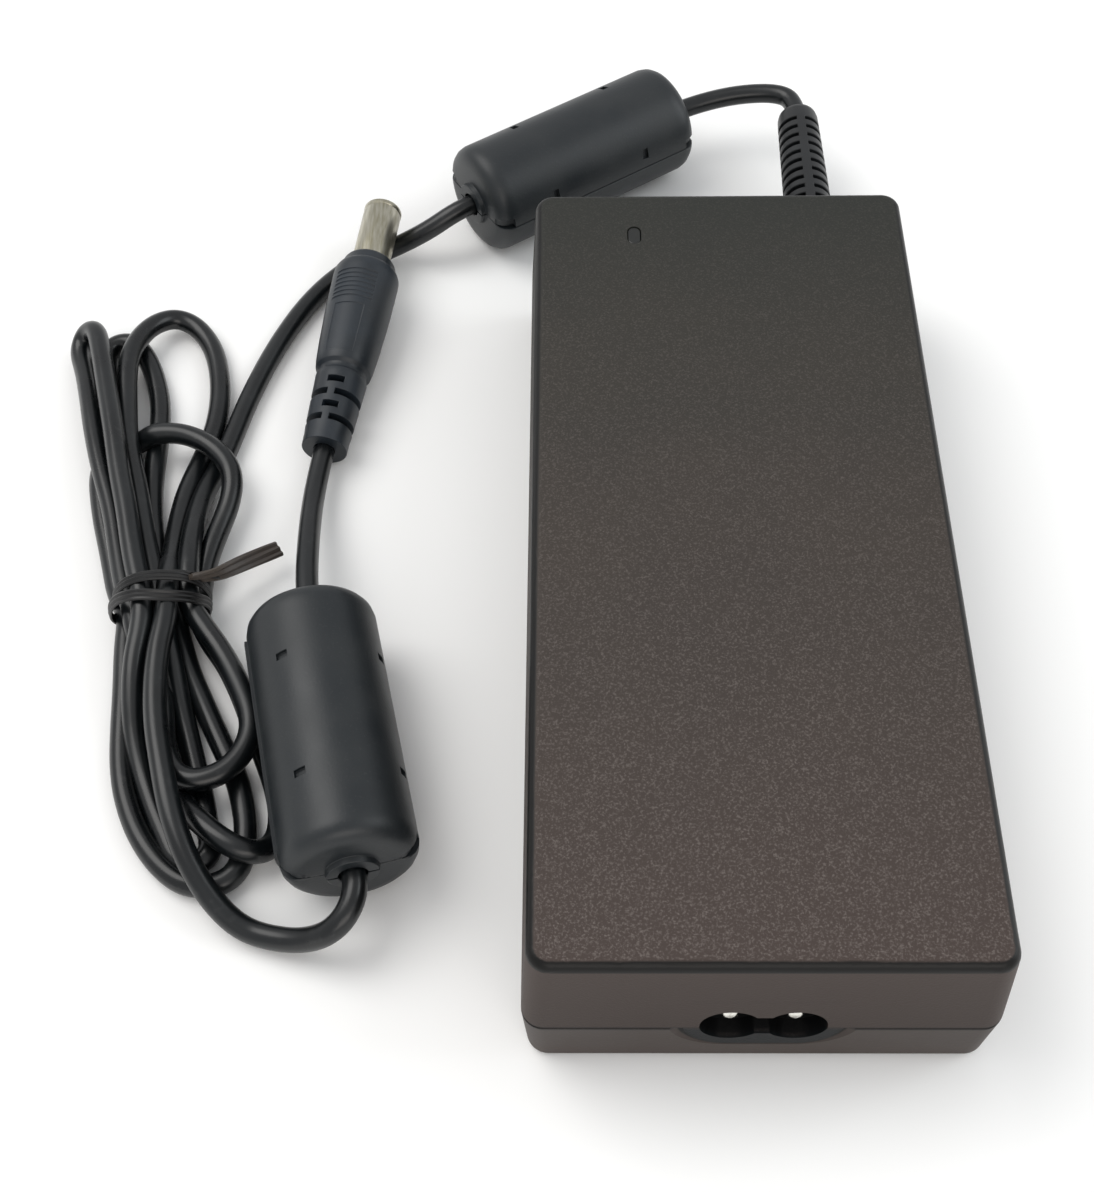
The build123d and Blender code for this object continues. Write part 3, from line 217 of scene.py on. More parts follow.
def eroded_base_plastic():
    """Polycarbonate-ABS tray from the same kind of tool, a little greyer than the lid.

    The eye sees a finer grit, a low edge painted lighter, painted light thrown up from the floor,
    and painted shade: a darker far end, a darker band at the parting line and a black groove round
    the inlet's tongue."""
    material, tree, shader, place = blank_material("eroded_pc_abs_tray")
    shader.inputs["Specular IOR Level"].default_value = 0.25
    across, along, height = put(tree, "ShaderNodeSeparateXYZ", {"Vector": place}).outputs
    # This grain too is drawn coarser than the real one, so that it shows.
    grit = put(tree, "ShaderNodeTexNoise", {"Vector": place, "Scale": 1.0 / (0.5 * MM),
                                            "Detail": 2.0, "Roughness": 0.7}).outputs["Fac"]
    handling = put(tree, "ShaderNodeTexNoise", {"Vector": place, "Scale": 1.0 / (18 * MM),
                                                "Detail": 5.0, "Roughness": 0.55}).outputs["Fac"]
    # Painted shade: black in the groove round the inlet's tongue.
    groove = overlap(tree, mask_of(tree, far_from_inlet(tree, across, height),
                                   (6.85 * MM, 1.0), (7.1 * MM, 0.0)),
                     mask_of(tree, along, (-69 * MM, 1.0), (-68 * MM, 0.0)))
    colour = coats(
        tree, "#38302c",
        (mask_of(tree, handling, (0.35, 0.0), (0.68, 1.0)), "#3c3430"),
        # Painted light: lighter towards the bottom, as if lit by the floor.
        (mask_of(tree, height, (0.0, 0.8), (7 * MM, 0.0)), "#403631"),
        # Painted shade: darker and greener towards the far end.
        (mask_of(tree, along, (10 * MM, 0.0), (FAR_END, 0.8)), "#262824"),
        # Painted shade: a darker band along the parting line.
        (mask_of(tree, height, (10.6 * MM, 0.0), (11.2 * MM, 0.85), (11.6 * MM, 0.85)), "#161413"),
        (groove, "#020202"),
        (mask_of(tree, grit, (0.58, 0.0), (0.72, 0.06)), "#8a817c"))
    tree.links.new(colour, shader.inputs["Base Color"])
    rough = put(tree, "ShaderNodeMapRange", {"Value": handling, "From Min": 0.3, "From Max": 0.7,
                                             "To Min": 0.46, "To Max": 0.56})
    tree.links.new(rough.outputs["Result"], shader.inputs["Roughness"])
    bump = put(tree, "ShaderNodeBump", {"Height": grit, "Strength": 0.35, "Distance": 0.06 * MM})
    tree.links.new(bump.outputs["Normal"], shader.inputs["Normal"])
    return material


def moulded_plastic(name, tone, worn, roughness, grain_mm=0.4, bump_mm=0.02):
    """Plastic from a lightly blasted tool: satin, nearly even, cloudy where it was handled."""
    material, tree, shader, place = blank_material(name)
    grain = put(tree, "ShaderNodeTexNoise", {"Vector": place, "Scale": 1.0 / (grain_mm * MM),
                                             "Detail": 3.0}).outputs["Fac"]
    cloud = put(tree, "ShaderNodeTexNoise", {"Vector": place, "Scale": 1.0 / (9 * MM),
                                             "Detail": 5.0}).outputs["Fac"]
    colour = coats(tree, tone, (mask_of(tree, cloud, (0.4, 0.0), (0.72, 1.0)), worn),
                   (mask_of(tree, grain, (0.60, 0.0), (0.75, 0.14)), "#4b4c4c"))
    tree.links.new(colour, shader.inputs["Base Color"])
    rough = put(tree, "ShaderNodeMapRange", {"Value": cloud, "From Min": 0.3, "From Max": 0.7,
                                             "To Min": roughness - 0.05,
                                             "To Max": roughness + 0.05})
    tree.links.new(rough.outputs["Result"], shader.inputs["Roughness"])
    bump = put(tree, "ShaderNodeBump", {"Height": grain, "Strength": 0.3,
                                        "Distance": bump_mm * MM})
    tree.links.new(bump.outputs["Normal"], shader.inputs["Normal"])
    return material


def plated_nickel(name, tone, rubbed, roughness, turn):
    """Nickel plating that a jack has rubbed: streaks along its length and a dull haze."""
    material, tree, shader, place = blank_material(name)
    shader.inputs["Metallic"].default_value = 1.0
    drawn_out = put(tree, "ShaderNodeMapping", {"Vector": place, "Rotation": turn,
                                                "Scale": (1.0, 0.08, 1.0)}).outputs["Vector"]
    streaks = put(tree, "ShaderNodeTexNoise", {"Vector": drawn_out, "Scale": 1.0 / (0.5 * MM),
                                               "Detail": 3.0}).outputs["Fac"]
    tree.links.new(coats(tree, tone, (mask_of(tree, streaks, (0.35, 0.0), (0.7, 1.0)), rubbed)),
                   shader.inputs["Base Color"])
    rough = put(tree, "ShaderNodeMapRange", {"Value": streaks, "To Min": roughness,
                                             "To Max": roughness + 0.15})
    tree.links.new(rough.outputs["Result"], shader.inputs["Roughness"])
    return material


def light_pipe_resin():
    """Unlit acrylic light pipe: a dim greenish-grey window, hazy in patches."""
    material, tree, shader, place = blank_material("moulded_acrylic_light_pipe")
    haze = put(tree, "ShaderNodeTexNoise", {"Vector": place, "Scale": 1.0 / (0.8 * MM),
                                            "Detail": 2.0}).outputs["Fac"]
    tree.links.new(coats(tree, "#0f1010", (haze, "#1a1c19")), shader.inputs["Base Color"])
    rough = put(tree, "ShaderNodeMapRange", {"Value": haze, "To Min": 0.32, "To Max": 0.45})
    tree.links.new(rough.outputs["Result"], shader.inputs["Roughness"])
    return material


PLUG_TURN = (0.0, 0.0, radians(7.5))     # how far the plug lies turned from the brick's length
CASE_TOP = eroded_lid_plastic()
CASE_BASE = eroded_base_plastic()
# Moulded nylon: the blackest and smoothest of the plastics, deep in the inlet.
INLET_NYLON = moulded_plastic("moulded_nylon_inlet", "#0d0d0e", "#171718", 0.42)
# Soft vinyl: a neutral satin black on the strain relief.
RELIEF_PVC = moulded_plastic("moulded_pvc_relief", "#0f1113", "#191c1e", 0.42)
# Blasted ABS: a cool black with a grain that breaks up the long highlight.
FERRITE_ABS = moulded_plastic("moulded_abs_ferrite_case", "#13191d", "#1e2224", 0.44,
                              grain_mm=0.4, bump_mm=0.06)
# Overmoulded vinyl: a dull blue-black, cloudy where fingers hold the grip.
PLUG_PVC = moulded_plastic("moulded_pvc_plug", "#141b21", "#1f2831", 0.46,
                           grain_mm=0.5, bump_mm=0.03)
# Extruded vinyl: the glossiest plastic, nearly black, with a soft highlight along each turn.
CORD_PVC = moulded_plastic("extruded_pvc_cord", "#070a0c", "#101416", 0.30,
                           grain_mm=1.1, bump_mm=0.01)
# Ribbed vinyl strip: a lighter brown-grey on its tail, and black on the turns round the hank.
TIE_PVC = moulded_plastic("ribbed_pvc_tie", "#3a332e", "#4c443c", 0.45,
                          grain_mm=0.6, bump_mm=0.03)
WRAP_PVC = moulded_plastic("ribbed_pvc_tie_wrap", "#0a0a0b", "#151515", 0.4,
                           grain_mm=0.6, bump_mm=0.03)
# Bright nickel on the pins, and a duller, yellower one where the barrel was rubbed.
PIN_NICKEL = plated_nickel("nickel_plated_pins", "#f0eee8", "#cfccc2", 0.16, (0.0, 0.0, 0.0))
BARREL_NICKEL = plated_nickel("nickel_plated_barrel", "#bcb8a9", "#99947f", 0.24, PLUG_TURN)
WINDOW_RESIN = light_pipe_resin()


def dress(material, *names):
    """Give CAD nodes a finish."""
    for name in names:
        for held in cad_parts[name].material_slots:
            held.material = material


dress(CASE_TOP, "upper_shell")
dress(CASE_BASE, "lower_shell")
dress(INLET_NYLON, "inlet_housing", "plug_insulator", "rating_label")
dress(PIN_NICKEL, "inlet_pin_left", "inlet_pin_right")
dress(WINDOW_RESIN, "light_pipe")
dress(BARREL_NICKEL, "plug_inner_contact", "plug_signal_pin")


# ---------------------------------------------------------------- modelling by hand
SIDES = 64                               # faces round each drawn-out bar
SMOOTH_ANGLE = radians(32)               # flatter edges than this are shaded smooth
STILL = {"value": (0, 0, 0)}             # an extrude that adds walls and moves nothing


def put_aside():
    """Leave edit mode with nothing selected, so the next operator starts clean."""
    if bpy.context.object and bpy.context.object.mode == "EDIT":
        bpy.ops.object.mode_set(mode="OBJECT")
    bpy.ops.object.select_all(action="DESELECT")


def take_up(piece):
    """Select one piece alone and make it the active one."""
    put_aside()
    piece.select_set(True)
    bpy.context.view_layer.objects.active = piece


def pick(piece, wanted):
    """In edit mode, select just the faces whose middle and normal are wanted."""
    bpy.ops.mesh.select_mode(type="FACE")
    bpy.ops.mesh.select_all(action="DESELECT")
    grid = bmesh.from_edit_mesh(piece.data)
    for face in [f for f in grid.faces if wanted(f.calc_center_median(), f.normal)]:
        face.select_set(True)
    bmesh.update_edit_mesh(piece.data)


def draw_out(name, stations):
    """A round bar along Z, drawn out from a disc through its (height, radius) stations in mm."""
    put_aside()
    height, radius = stations[0]
    bpy.ops.mesh.primitive_circle_add(vertices=SIDES, radius=radius * MM, fill_type="NGON",
                                      location=(0, 0, 0))
    bar = bpy.context.object
    bar.name = name
    bpy.ops.object.mode_set(mode="EDIT")
    bpy.ops.mesh.select_all(action="SELECT")
    bpy.ops.transform.translate(value=(0, 0, height * MM))
    for next_height, next_radius in stations[1:]:
        bpy.ops.mesh.extrude_region_move(TRANSFORM_OT_translate={
            "value": (0, 0, (next_height - height) * MM), "orient_type": "GLOBAL"})
        spread = next_radius / radius
        bpy.ops.transform.resize(value=(spread, spread, 1),
                                 center_override=(0, 0, next_height * MM))
        height, radius = next_height, next_radius
    bpy.ops.mesh.select_all(action="SELECT")
    bpy.ops.mesh.normals_make_consistent(inside=False)
    return bar


def turn_about_axis(middle):
    """The angle of a point about Z, in degrees from +Y towards +X."""
    return degrees(atan2(middle.x, middle.y))


def press_in(piece, wanted, share):
    """Bring the wanted faces to a share of their radius round Z, with walls round them."""
    pick(piece, wanted)
    bpy.ops.mesh.extrude_region_move(TRANSFORM_OT_translate=STILL)
    bpy.ops.transform.resize(value=(share, share, 1), center_override=(0, 0, 0))


def bore_end(piece, wanted, bore_over_face, depth):
    """Open a blind bore in the end face that is wanted, depth mm along Z."""
    press_in(piece, wanted, bore_over_face)
    bpy.ops.mesh.extrude_region_move(TRANSFORM_OT_translate={
        "value": (0, 0, depth * MM), "orient_type": "GLOBAL"})


def finish_piece(piece, material, node, edge_mm=0.0, edge_angle=34):
    """Break the edges sharper than edge_angle, smooth the rest, and stand for the CAD node."""
    take_up(piece)
    if edge_mm:
        edges = piece.modifiers.new("edges", "BEVEL")
        edges.width, edges.segments, edges.limit_method = edge_mm * MM, 1, "ANGLE"
        edges.angle_limit = radians(edge_angle)
        bpy.ops.object.modifier_apply(modifier=edges.name)
    bpy.ops.object.shade_smooth_by_angle(angle=SMOOTH_ANGLE)
    piece.data.materials.clear()
    piece.data.materials.append(material)
    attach(piece, "root")
    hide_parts(node)
    put_aside()


def stand_at(piece, middle, axis):
    """Bring a piece drawn along Z to its place: Z to axis, Y to the side nearest up."""
    up = Vector((0, 0, 1))
    axis = Vector(axis).normalized()
    top = (up - axis * up.dot(axis)).normalized()
    side = top.cross(axis)
    piece.data.transform(Matrix((
        (side.x, top.x, axis.x, middle[0]), (side.y, top.y, axis.y, middle[1]),
        (side.z, top.z, axis.z, middle[2]), (0, 0, 0, 1))))
    piece.data.update()


def copy_of(piece, name):
    """A copy with its own mesh."""
    twin = piece.copy()
    twin.data = piece.data.copy()
    twin.name = name
    bpy.context.collection.objects.link(twin)
    return twin


# ---------------------------------------------------------------- clip-on ferrites
# The case is drawn lying along Z, with its top towards +Y.  It parts into an upper and a lower
# half at the height of the cord.
FERRITE_SHAPE = [
    (-22.9, 3.3), (-22.85, 3.75), (-22.0, 3.95), (-22.0, 7.2), (-21.8, 8.35), (-21.2, 9.2),
    (-20.4, 9.75), (-19.3, 10.0), (-18.3, 10.0), (-10.9, 10.0), (-10.6, 10.0),
    (-9.4, 10.0), (-9.1, 10.0), (9.1, 10.0), (9.4, 10.0), (10.6, 10.0), (10.9, 10.0),
    (18.3, 10.0), (19.3, 10.0), (20.4, 9.75), (21.2, 9.2), (21.8, 8.35), (22.0, 7.2),
    (22.0, 3.95), (22.85, 3.75), (22.9, 3.3),
]
BOSS_FACE, BOSS_BORE, BORE_DEPTH = 3.3, 2.15, 2.2    # radii and depth where the cord goes in
DIMPLE_Z, DIMPLE_TURNS = 10 * MM, (-27, 75)          # two latch dimples near each end
DIMPLED, NOTCHED, RIBBED = 0.94, 0.91, 1.045         # shares of the case's radius
SKIN = 9.5 * MM                                      # only the case's outside is past this
HALF_GAP = 0.13 * MM                                 # half the line between the two halves
FERRITES = {                                         # middle, and heading on the table
    "a": ((-0.0244, 0.1013, 0.0100), radians(213.7)),
    "b": ((-0.0606, -0.02585, 0.0100), radians(-77.2)),
}


def model_ferrite_case():
    """One whole case: rounded ends, bored cord bosses, latch dimples and a hinge rib."""
    case = draw_out("ferrite_case", FERRITE_SHAPE)
    for side in (-1, 1):
        bore_end(case, lambda at, n: abs(n.z) > 0.9 and at.z * side > 22.6 * MM
                 and at.xy.length < 1 * MM, BOSS_BORE / BOSS_FACE, -side * BORE_DEPTH)
        for turn in DIMPLE_TURNS:
            press_in(case, lambda at, n: abs(at.z - side * DIMPLE_Z) < 0.4 * MM
                     and at.xy.length > SKIN and abs(turn_about_axis(at) - turn) < 5.5, DIMPLED)
        # the notch in each end of the hinge and of the latch
        press_in(case, lambda at, n: at.z * side > 19.0 * MM and at.xy.length > 7.3 * MM
                 and 79 < abs(turn_about_axis(at)) < 90, NOTCHED)
    # the hinge rib
    press_in(case, lambda at, n: abs(at.z) < 18.4 * MM and at.xy.length > SKIN
             and 79 < -turn_about_axis(at) < 101, RIBBED)
    put_aside()
    return case


def part_case(case, name, keep_upper):
    """One half of the case: cut beside the parting plane and closed."""
    half = copy_of(case, name)
    take_up(half)
    bpy.ops.object.mode_set(mode="EDIT")
    bpy.ops.mesh.select_all(action="SELECT")
    half_gap = HALF_GAP if keep_upper else -HALF_GAP
    bpy.ops.mesh.bisect(plane_co=(0, half_gap, 0), plane_no=(0, 1, 0), use_fill=True,
                        clear_inner=keep_upper, clear_outer=not keep_upper)
    bpy.ops.mesh.select_all(action="SELECT")
    bpy.ops.mesh.normals_make_consistent(inside=False)
    put_aside()
    return half


def place_ferrites():
    """The two ferrites are alike: one case, parted once and copied to both places."""
    case = model_ferrite_case()
    halves = {"upper": part_case(case, "ferrite_upper", True),
              "lower": part_case(case, "ferrite_lower", False)}
    for letter, (middle, heading) in FERRITES.items():
        for part, half in halves.items():
            piece = copy_of(half, f"ferrite_{letter}_{part}")
            stand_at(piece, middle, (cos(heading), sin(heading), 0))
            finish_piece(piece, FERRITE_ABS, f"ferrite_{letter}_case_{part}",
                         edge_mm=0.13, edge_angle=38)
    for spare in (case, *halves.values()):
        bpy.data.objects.remove(spare)


place_ferrites()


# ---------------------------------------------------------------- barrel plug
# The plug is drawn along Z from its tail.  Heights and radii are in mm, turns in degrees.
PLUG_TAIL, PLUG_TIP = Vector((-.06705, .0342, .0042)), Vector((-.05988, .08834, .00872))
TAIL_FACE, TAIL_BORE, BORE_IN = 3.9, 1.82, 2.0      # radii and depth where the cord goes in
BOOT_ROWS = [3.7, 6.3, 8.9, 11.5]        # where each row of slots in the boot starts
BOOT_SLOT = 1.25                         # and how wide its slots are
BOOT_AT = [(0.0, TAIL_FACE), (1.4, 3.95), (2.3, 3.95)]
for row_start in BOOT_ROWS:
    BOOT_AT += [(z, 3.95 + z * 0.04) for z in (row_start, row_start + BOOT_SLOT)]
# The rows take turns: two long slots, then two short ones in the gaps between them.
LONG_SLOTS, SHORT_SLOTS = [(-150, -6), (12, 160)], [(-22, 17), (158, 202)]
RIBS_AT, RIB_STEP = 29.2, 0.5            # the fine ribs: a groove and a rib are a step each
GRIP_AT = [
    (13.6, 4.5), (14.6, 4.55), (15.0, 4.25), (16.0, 4.25), (16.5, 4.9), (18.0, 5.15),
    (22.0, 5.45), (28.0, 5.75), (RIBS_AT, 5.8)] + [
    (RIBS_AT + RIB_STEP * i, 5.8 + 0.01 * i) for i in range(1, 17)] + [
    (38.3, 5.9), (39.0, 5.6), (39.3, 4.9), (40.9, 4.8), (41.4, 4.5)]
PAD_TURN = 4                             # which way the thumb pad and the ribs face
SLOTTED, GROOVED, PADDED = 0.58, 0.972, 0.975       # shares of the plug's radius


def model_plug():
    """Overmoulded grip with a slotted boot, a thumb pad and a band of fine ribs."""
    plug = draw_out("plug_grip", BOOT_AT + GRIP_AT)
    for row, start in enumerate(BOOT_ROWS):
        for low, high in (SHORT_SLOTS if row % 2 else LONG_SLOTS):
            press_in(plug, lambda at, n: start * MM < at.z < (start + BOOT_SLOT) * MM
                     and at.xy.length > 3 * MM
                     and low < (turn_about_axis(at) - low) % 360 + low < high, SLOTTED)
    for i in range(0, 14, 2):
        groove = RIBS_AT + RIB_STEP * i
        press_in(plug, lambda at, n: groove * MM < at.z < (groove + RIB_STEP) * MM
                 and at.xy.length > 5 * MM and abs(turn_about_axis(at) - PAD_TURN) < 40, GROOVED)
    press_in(plug, lambda at, n: 18.0 * MM < at.z < 28.0 * MM and at.xy.length > 4.5 * MM
             and abs(turn_about_axis(at) - PAD_TURN) < 28, PADDED)
    bore_end(plug, lambda at, n: n.z < -0.9 and at.z < 0.2 * MM, TAIL_BORE / TAIL_FACE, BORE_IN)
    put_aside()
    stand_at(plug, PLUG_TAIL, PLUG_TIP - PLUG_TAIL)
    finish_piece(plug, PLUG_PVC, "plug_moulding", edge_mm=0.1)


def model_barrel():
    """Drawn sleeve with a rolled lip, open down to the insulator."""
    length = (PLUG_TIP - PLUG_TAIL).length / MM
    barrel = draw_out("plug_sleeve", [
        (41.0, 3.25), (41.3, 3.45), (44.0, 3.45), (length - 1.1, 3.45), (length - 0.95, 3.36),
        (length - 0.8, 3.48), (length - 0.3, 3.5), (length - 0.08, 3.4), (length, 3.2),
        (length - 0.1, 3.0), (length - 0.7, 2.9), (43.2, 2.9), (43.1, 2.7)])
    put_aside()
    stand_at(barrel, PLUG_TAIL, PLUG_TIP - PLUG_TAIL)
    finish_piece(barrel, BARREL_NICKEL, "plug_barrel")


model_plug()
model_barrel()


# ---------------------------------------------------------------- strain relief
RELIEF_ROWS = [2.6 + 2.4 * i for i in range(14)]     # where each pair of slots starts, in mm
RELIEF_SLOT, RELIEF_CUT = 0.95, 0.6      # how wide they are, and the share of radius left
RELIEF_FOOT = (.0185, .0710, .0123)      # where it comes out of the far end


def relief_radius(z):
    """The radius of the tapered boot, z mm from its foot."""
    return 4.6 - z * 0.8 / 39.0


def model_relief():
    """Tapered boot with side slots, a solid spine above and below, and a domed tip."""
    stations = [(-1.0, 4.2), (0.4, 4.2), (0.6, 4.6)]
    for start in RELIEF_ROWS:
        stations += [(z, relief_radius(z)) for z in (start, start + RELIEF_SLOT)]
    stations += [(37.4, 3.8), (38.3, 3.6), (38.8, 3.2), (39.0, 2.5)]
    relief = draw_out("slotted_relief", stations)
    for start in RELIEF_ROWS:
        for side in (-1, 1):
            press_in(relief, lambda at, n: start * MM < at.z < (start + RELIEF_SLOT) * MM
                     and at.xy.length > 2.8 * MM
                     and 13 < side * turn_about_axis(at) < 166, RELIEF_CUT)
    put_aside()
    stand_at(relief, RELIEF_FOOT, (0, 1, 0))
    finish_piece(relief, RELIEF_PVC, "strain_relief", edge_mm=0.12)


model_relief()


# ---------------------------------------------------------------- wire twist tie
# Two turns of ribbed strip round the hank, and its twisted ends, which stand off to one side.
FIRST_TURN = [
    (-.0967, .0011, .0005), (-.0989, .0005, .0026), (-.0975, -.0002, .0080),
    (-.0938, -.0009, .0114), (-.0884, -.0011, .0114), (-.0839, .0002, .0088),
    (-.0823, .0021, .0042), (-.0838, .0020, .0006), (-.0905, .0014, .0004),
]
SECOND_TURN = [
    (-.0967, .0030, .0005), (-.0987, .0027, .0026), (-.0973, .0024, .0078),
    (-.0937, .0025, .0111), (-.0886, .0031, .0112), (-.0841, .0038, .0090),
    (-.0825, .0038, .0046), (-.0839, .0036, .0006), (-.0905, .0032, .0004),
]
TAIL_STRAND = [
    (-.0852, .0034, .0098), (-.0836, .0042, .0088), (-.0818, .0054, .0077), (-.0802, .0067, .0070),
    (-.0776, .0091, .0060), (-.0749, .0113, .0051), (-.0727, .0131, .0043),
]
SHORT_STRAND = [
    (-.0884, .0034, .0106), (-.0852, .0042, .0092), (-.0830, .0050, .0082), (-.0812, .0062, .0066),
    (-.0796, .0078, .0056), (-.0776, .0094, .0048),
]
STRIP_EDGE = [                           # the strip's cross-section: three ribs on each face
    (-.00105, -.00012), (-.00078, -.00030), (-.00040, -.00014), (.0, -.00038), (.00040, -.00014),
    (.00078, -.00030), (.00105, -.00012), (.00105, .00012), (.00078, .00030), (.00040, .00014),
    (.0, .00038), (-.00040, .00014), (-.00078, .00030), (-.00105, .00012),
]
STRIP_ANGLE = radians(28)                # keeps the ribs crisp
# Name, path, closed or not, width as a share of the section, first and last tilt, finish.
STRIPS = [
    ("first_turn", FIRST_TURN, True, 0.86, 0, 0, WRAP_PVC),
    ("second_turn", SECOND_TURN, True, 0.86, 0, 0, WRAP_PVC),
    ("tail_strand", TAIL_STRAND, False, 1.3, 120, 10, TIE_PVC),
    ("short_strand", SHORT_STRAND, False, 0.8, 20, 320, WRAP_PVC),
]


def strip_line(name, path, closed, width, first_tilt, last_tilt, material, edge):
    """A length of ribbed strip along a smooth line, turned steadily from end to end."""
    line = bpy.data.curves.new(name, "CURVE")
    line.dimensions = "3D"
    spline = line.splines.new("NURBS")
    spline.points.add(len(path) - 1)
    for i, (point, place) in enumerate(zip(spline.points, path)):
        point.co = (*place, 1.0)
        point.radius = width
        point.tilt = radians(first_tilt + (last_tilt - first_tilt) * i / (len(path) - 1))
    spline.order_u = 3
    spline.use_cyclic_u, spline.use_endpoint_u = closed, not closed
    line.resolution_u = CURVE_STEPS
    line.bevel_mode, line.bevel_object, line.use_fill_caps = "OBJECT", edge, not closed
    strip = bpy.data.objects.new(name, line)
    strip.data.materials.append(material)
    bpy.context.collection.objects.link(strip)
    return strip


def tie_the_hank():
    """Two turns and two strands of the strip, joined into one piece."""
    edge_line = bpy.data.curves.new("strip_edge", "CURVE")
    edge_line.dimensions = "2D"
    outline = edge_line.splines.new("POLY")
    outline.points.add(len(STRIP_EDGE) - 1)
    for point, place in zip(outline.points, STRIP_EDGE):
        point.co = (*place, 0.0, 1.0)
    outline.use_cyclic_u = True
    edge = bpy.data.objects.new("strip_edge", edge_line)
    bpy.context.collection.objects.link(edge)
    strips = [strip_line(*strip, edge) for strip in STRIPS]
    put_aside()
    for strip in strips:
        strip.select_set(True)
    bpy.context.view_layer.objects.active = strips[0]
    bpy.ops.object.convert(target="MESH")
    bpy.ops.object.join()
    tie = bpy.context.object
    tie.name = "wire_twist_tie"
    bpy.data.objects.remove(edge)
    bpy.ops.object.mode_set(mode="EDIT")
    bpy.ops.mesh.select_all(action="SELECT")
    bpy.ops.mesh.normals_make_consistent(inside=False)
    take_up(tie)
    bpy.ops.object.shade_smooth_by_angle(angle=STRIP_ANGLE)
    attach(tie, "root")
    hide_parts("twist_tie")
    put_aside()


tie_the_hank()


# ---------------------------------------------------------------- floor and room light
def lay_floor():
    """A wide painted floor: the eye sees an even, nearly white ground with soft shadows."""
    put_aside()
    bpy.ops.mesh.primitive_plane_add(size=6.0, location=(0, 0, 0))
    floor = bpy.context.object
    floor.name = "studio_floor"
    material, tree, shader, place = blank_material("painted_studio_floor")
    mottle = put(tree, "ShaderNodeTexNoise", {"Vector": place, "Scale": 1.0 / (167 * MM),
                                              "Detail": 3.0}).outputs["Fac"]
    tree.links.new(coats(tree, "#f9f9f8", (mottle, "#fdfdfc")), shader.inputs["Base Color"])
    shader.inputs["Roughness"].default_value = 0.85
    floor.data.materials.append(material)


def fill_room():
    """Soft even light from the whole room."""
    world = bpy.data.worlds.new("studio")
    bpy.context.scene.world = world
    world.use_nodes = True
    room = world.node_tree.nodes["Background"]
    room.inputs["Color"].default_value = linear("#f7f8fa")
    room.inputs["Strength"].default_value = 0.72


lay_floor()
fill_room()


# ---------------------------------------------------------------- the DC cord
# One line from the strain relief to the plug.  Between the two free stretches it is folded
# into a hank: four loops above the tie and four below, whose legs lie in three layers.
CORD_DIAMETER = 0.0036
FREE_LEAD = [
    (.0185, .1085, .0123), (.0185, .1143, .0123), (.0152, .1174, .0122), (.0066, .1180, .0112),
    (-.0026, .11584, .0100), (-.0104, .1106, .0100), (-.0404, .0906, .0100), (-.0460, .0869, .0100),
    (-.0516, .0849, .0069), (-.0582, .0846, .0030), (-.0658, .0813, .0019), (-.0726, .0730, .00185),
    (-.0778, .0614, .0019), (-.0816, .0488, .00185), (-.0837, .0379, .0020), (-.0850, .0324, .0020),
    (-.0867, .0270, .0024), (-.0873, .0205, .0036), (-.0870, .0140, .0056), (-.0864, .0070, .0068),
]
INNER_FOLD_BELOW = [
    (-.0858, .0010, .0060), (-.0826, -.0036, .0058), (-.0801, -.0070, .0058),
    (-.0778, -.0107, .0058), (-.0755, -.0151, .0058), (-.0738, -.0191, .0059),
    (-.0732, -.0228, .0059), (-.0742, -.0264, .0059), (-.0763, -.0292, .0059),
    (-.0789, -.0306, .0059), (-.0816, -.0308, .0058), (-.0842, -.0294, .0057),
    (-.0861, -.0255, .0055), (-.0871, -.0195, .0052), (-.0884, -.0140, .0038),
    (-.0899, -.0088, .0024), (-.0912, -.0040, .0021),
]
SLIM_FOLD_ABOVE = [
    (-.0923, .0010, .0022), (-.0948, .0060, .0020), (-.0972, .0140, .0021), (-.0993, .0220, .0034),
    (-.1008, .0290, .0050), (-.1024, .0350, .0054), (-.1042, .0420, .0042), (-.1058, .0480, .0026),
    (-.1078, .0545, .0020), (-.1088, .0588, .0019), (-.1070, .0614, .0019), (-.1040, .0615, .0019),
    (-.1012, .0580, .0019), (-.0985, .0516, .0019), (-.0968, .0448, .0019), (-.0963, .0360, .0019),
    (-.0961, .0290, .0019), (-.0952, .0215, .0019), (-.0938, .0150, .0020), (-.0916, .0080, .0020),
]
LOW_FOLD_BELOW = [
    (-.0886, .0010, .0022), (-.0868, -.0045, .0020), (-.0848, -.0097, .0019),
    (-.0824, -.0145, .0019), (-.0799, -.0195, .0019), (-.0773, -.0245, .0019),
    (-.0755, -.0281, .0019), (-.0739, -.0328, .0019), (-.0730, -.0371, .0019),
    (-.0729, -.0412, .0019), (-.0739, -.0442, .0019), (-.0764, -.0460, .0019),
    (-.0797, -.0460, .0019), (-.0826, -.0449, .0019), (-.0860, -.0418, .0019),
    (-.0893, -.0371, .0019), (-.0918, -.0315, .0019), (-.0931, -.0267, .0019),
    (-.0939, -.0214, .0019), (-.0948, -.0123, .0020), (-.0957, -.0050, .0022),
]
SHORT_FOLD_ABOVE = [
    (-.0960, .0010, .0023), (-.0985, .0056, .0022), (-.1000, .0105, .0020), (-.1016, .0157, .0019),
    (-.1033, .0209, .0019), (-.1047, .0263, .0019), (-.1053, .0295, .0019), (-.1053, .0326, .0019),
    (-.1043, .0354, .0019), (-.1027, .0368, .0019), (-.1005, .0371, .0020), (-.0985, .0369, .0035),
    (-.0964, .0367, .0055), (-.0940, .0367, .0058), (-.0917, .0364, .0060), (-.0893, .0356, .0060),
    (-.0868, .0341, .0061), (-.0846, .0322, .0060), (-.0830, .0303, .0056), (-.0821, .0284, .0051),
    (-.0817, .0257, .0045), (-.0821, .0219, .0039), (-.0831, .0178, .0036), (-.0840, .0136, .0035),
    (-.0846, .0097, .0033), (-.0848, .0050, .0028),
]
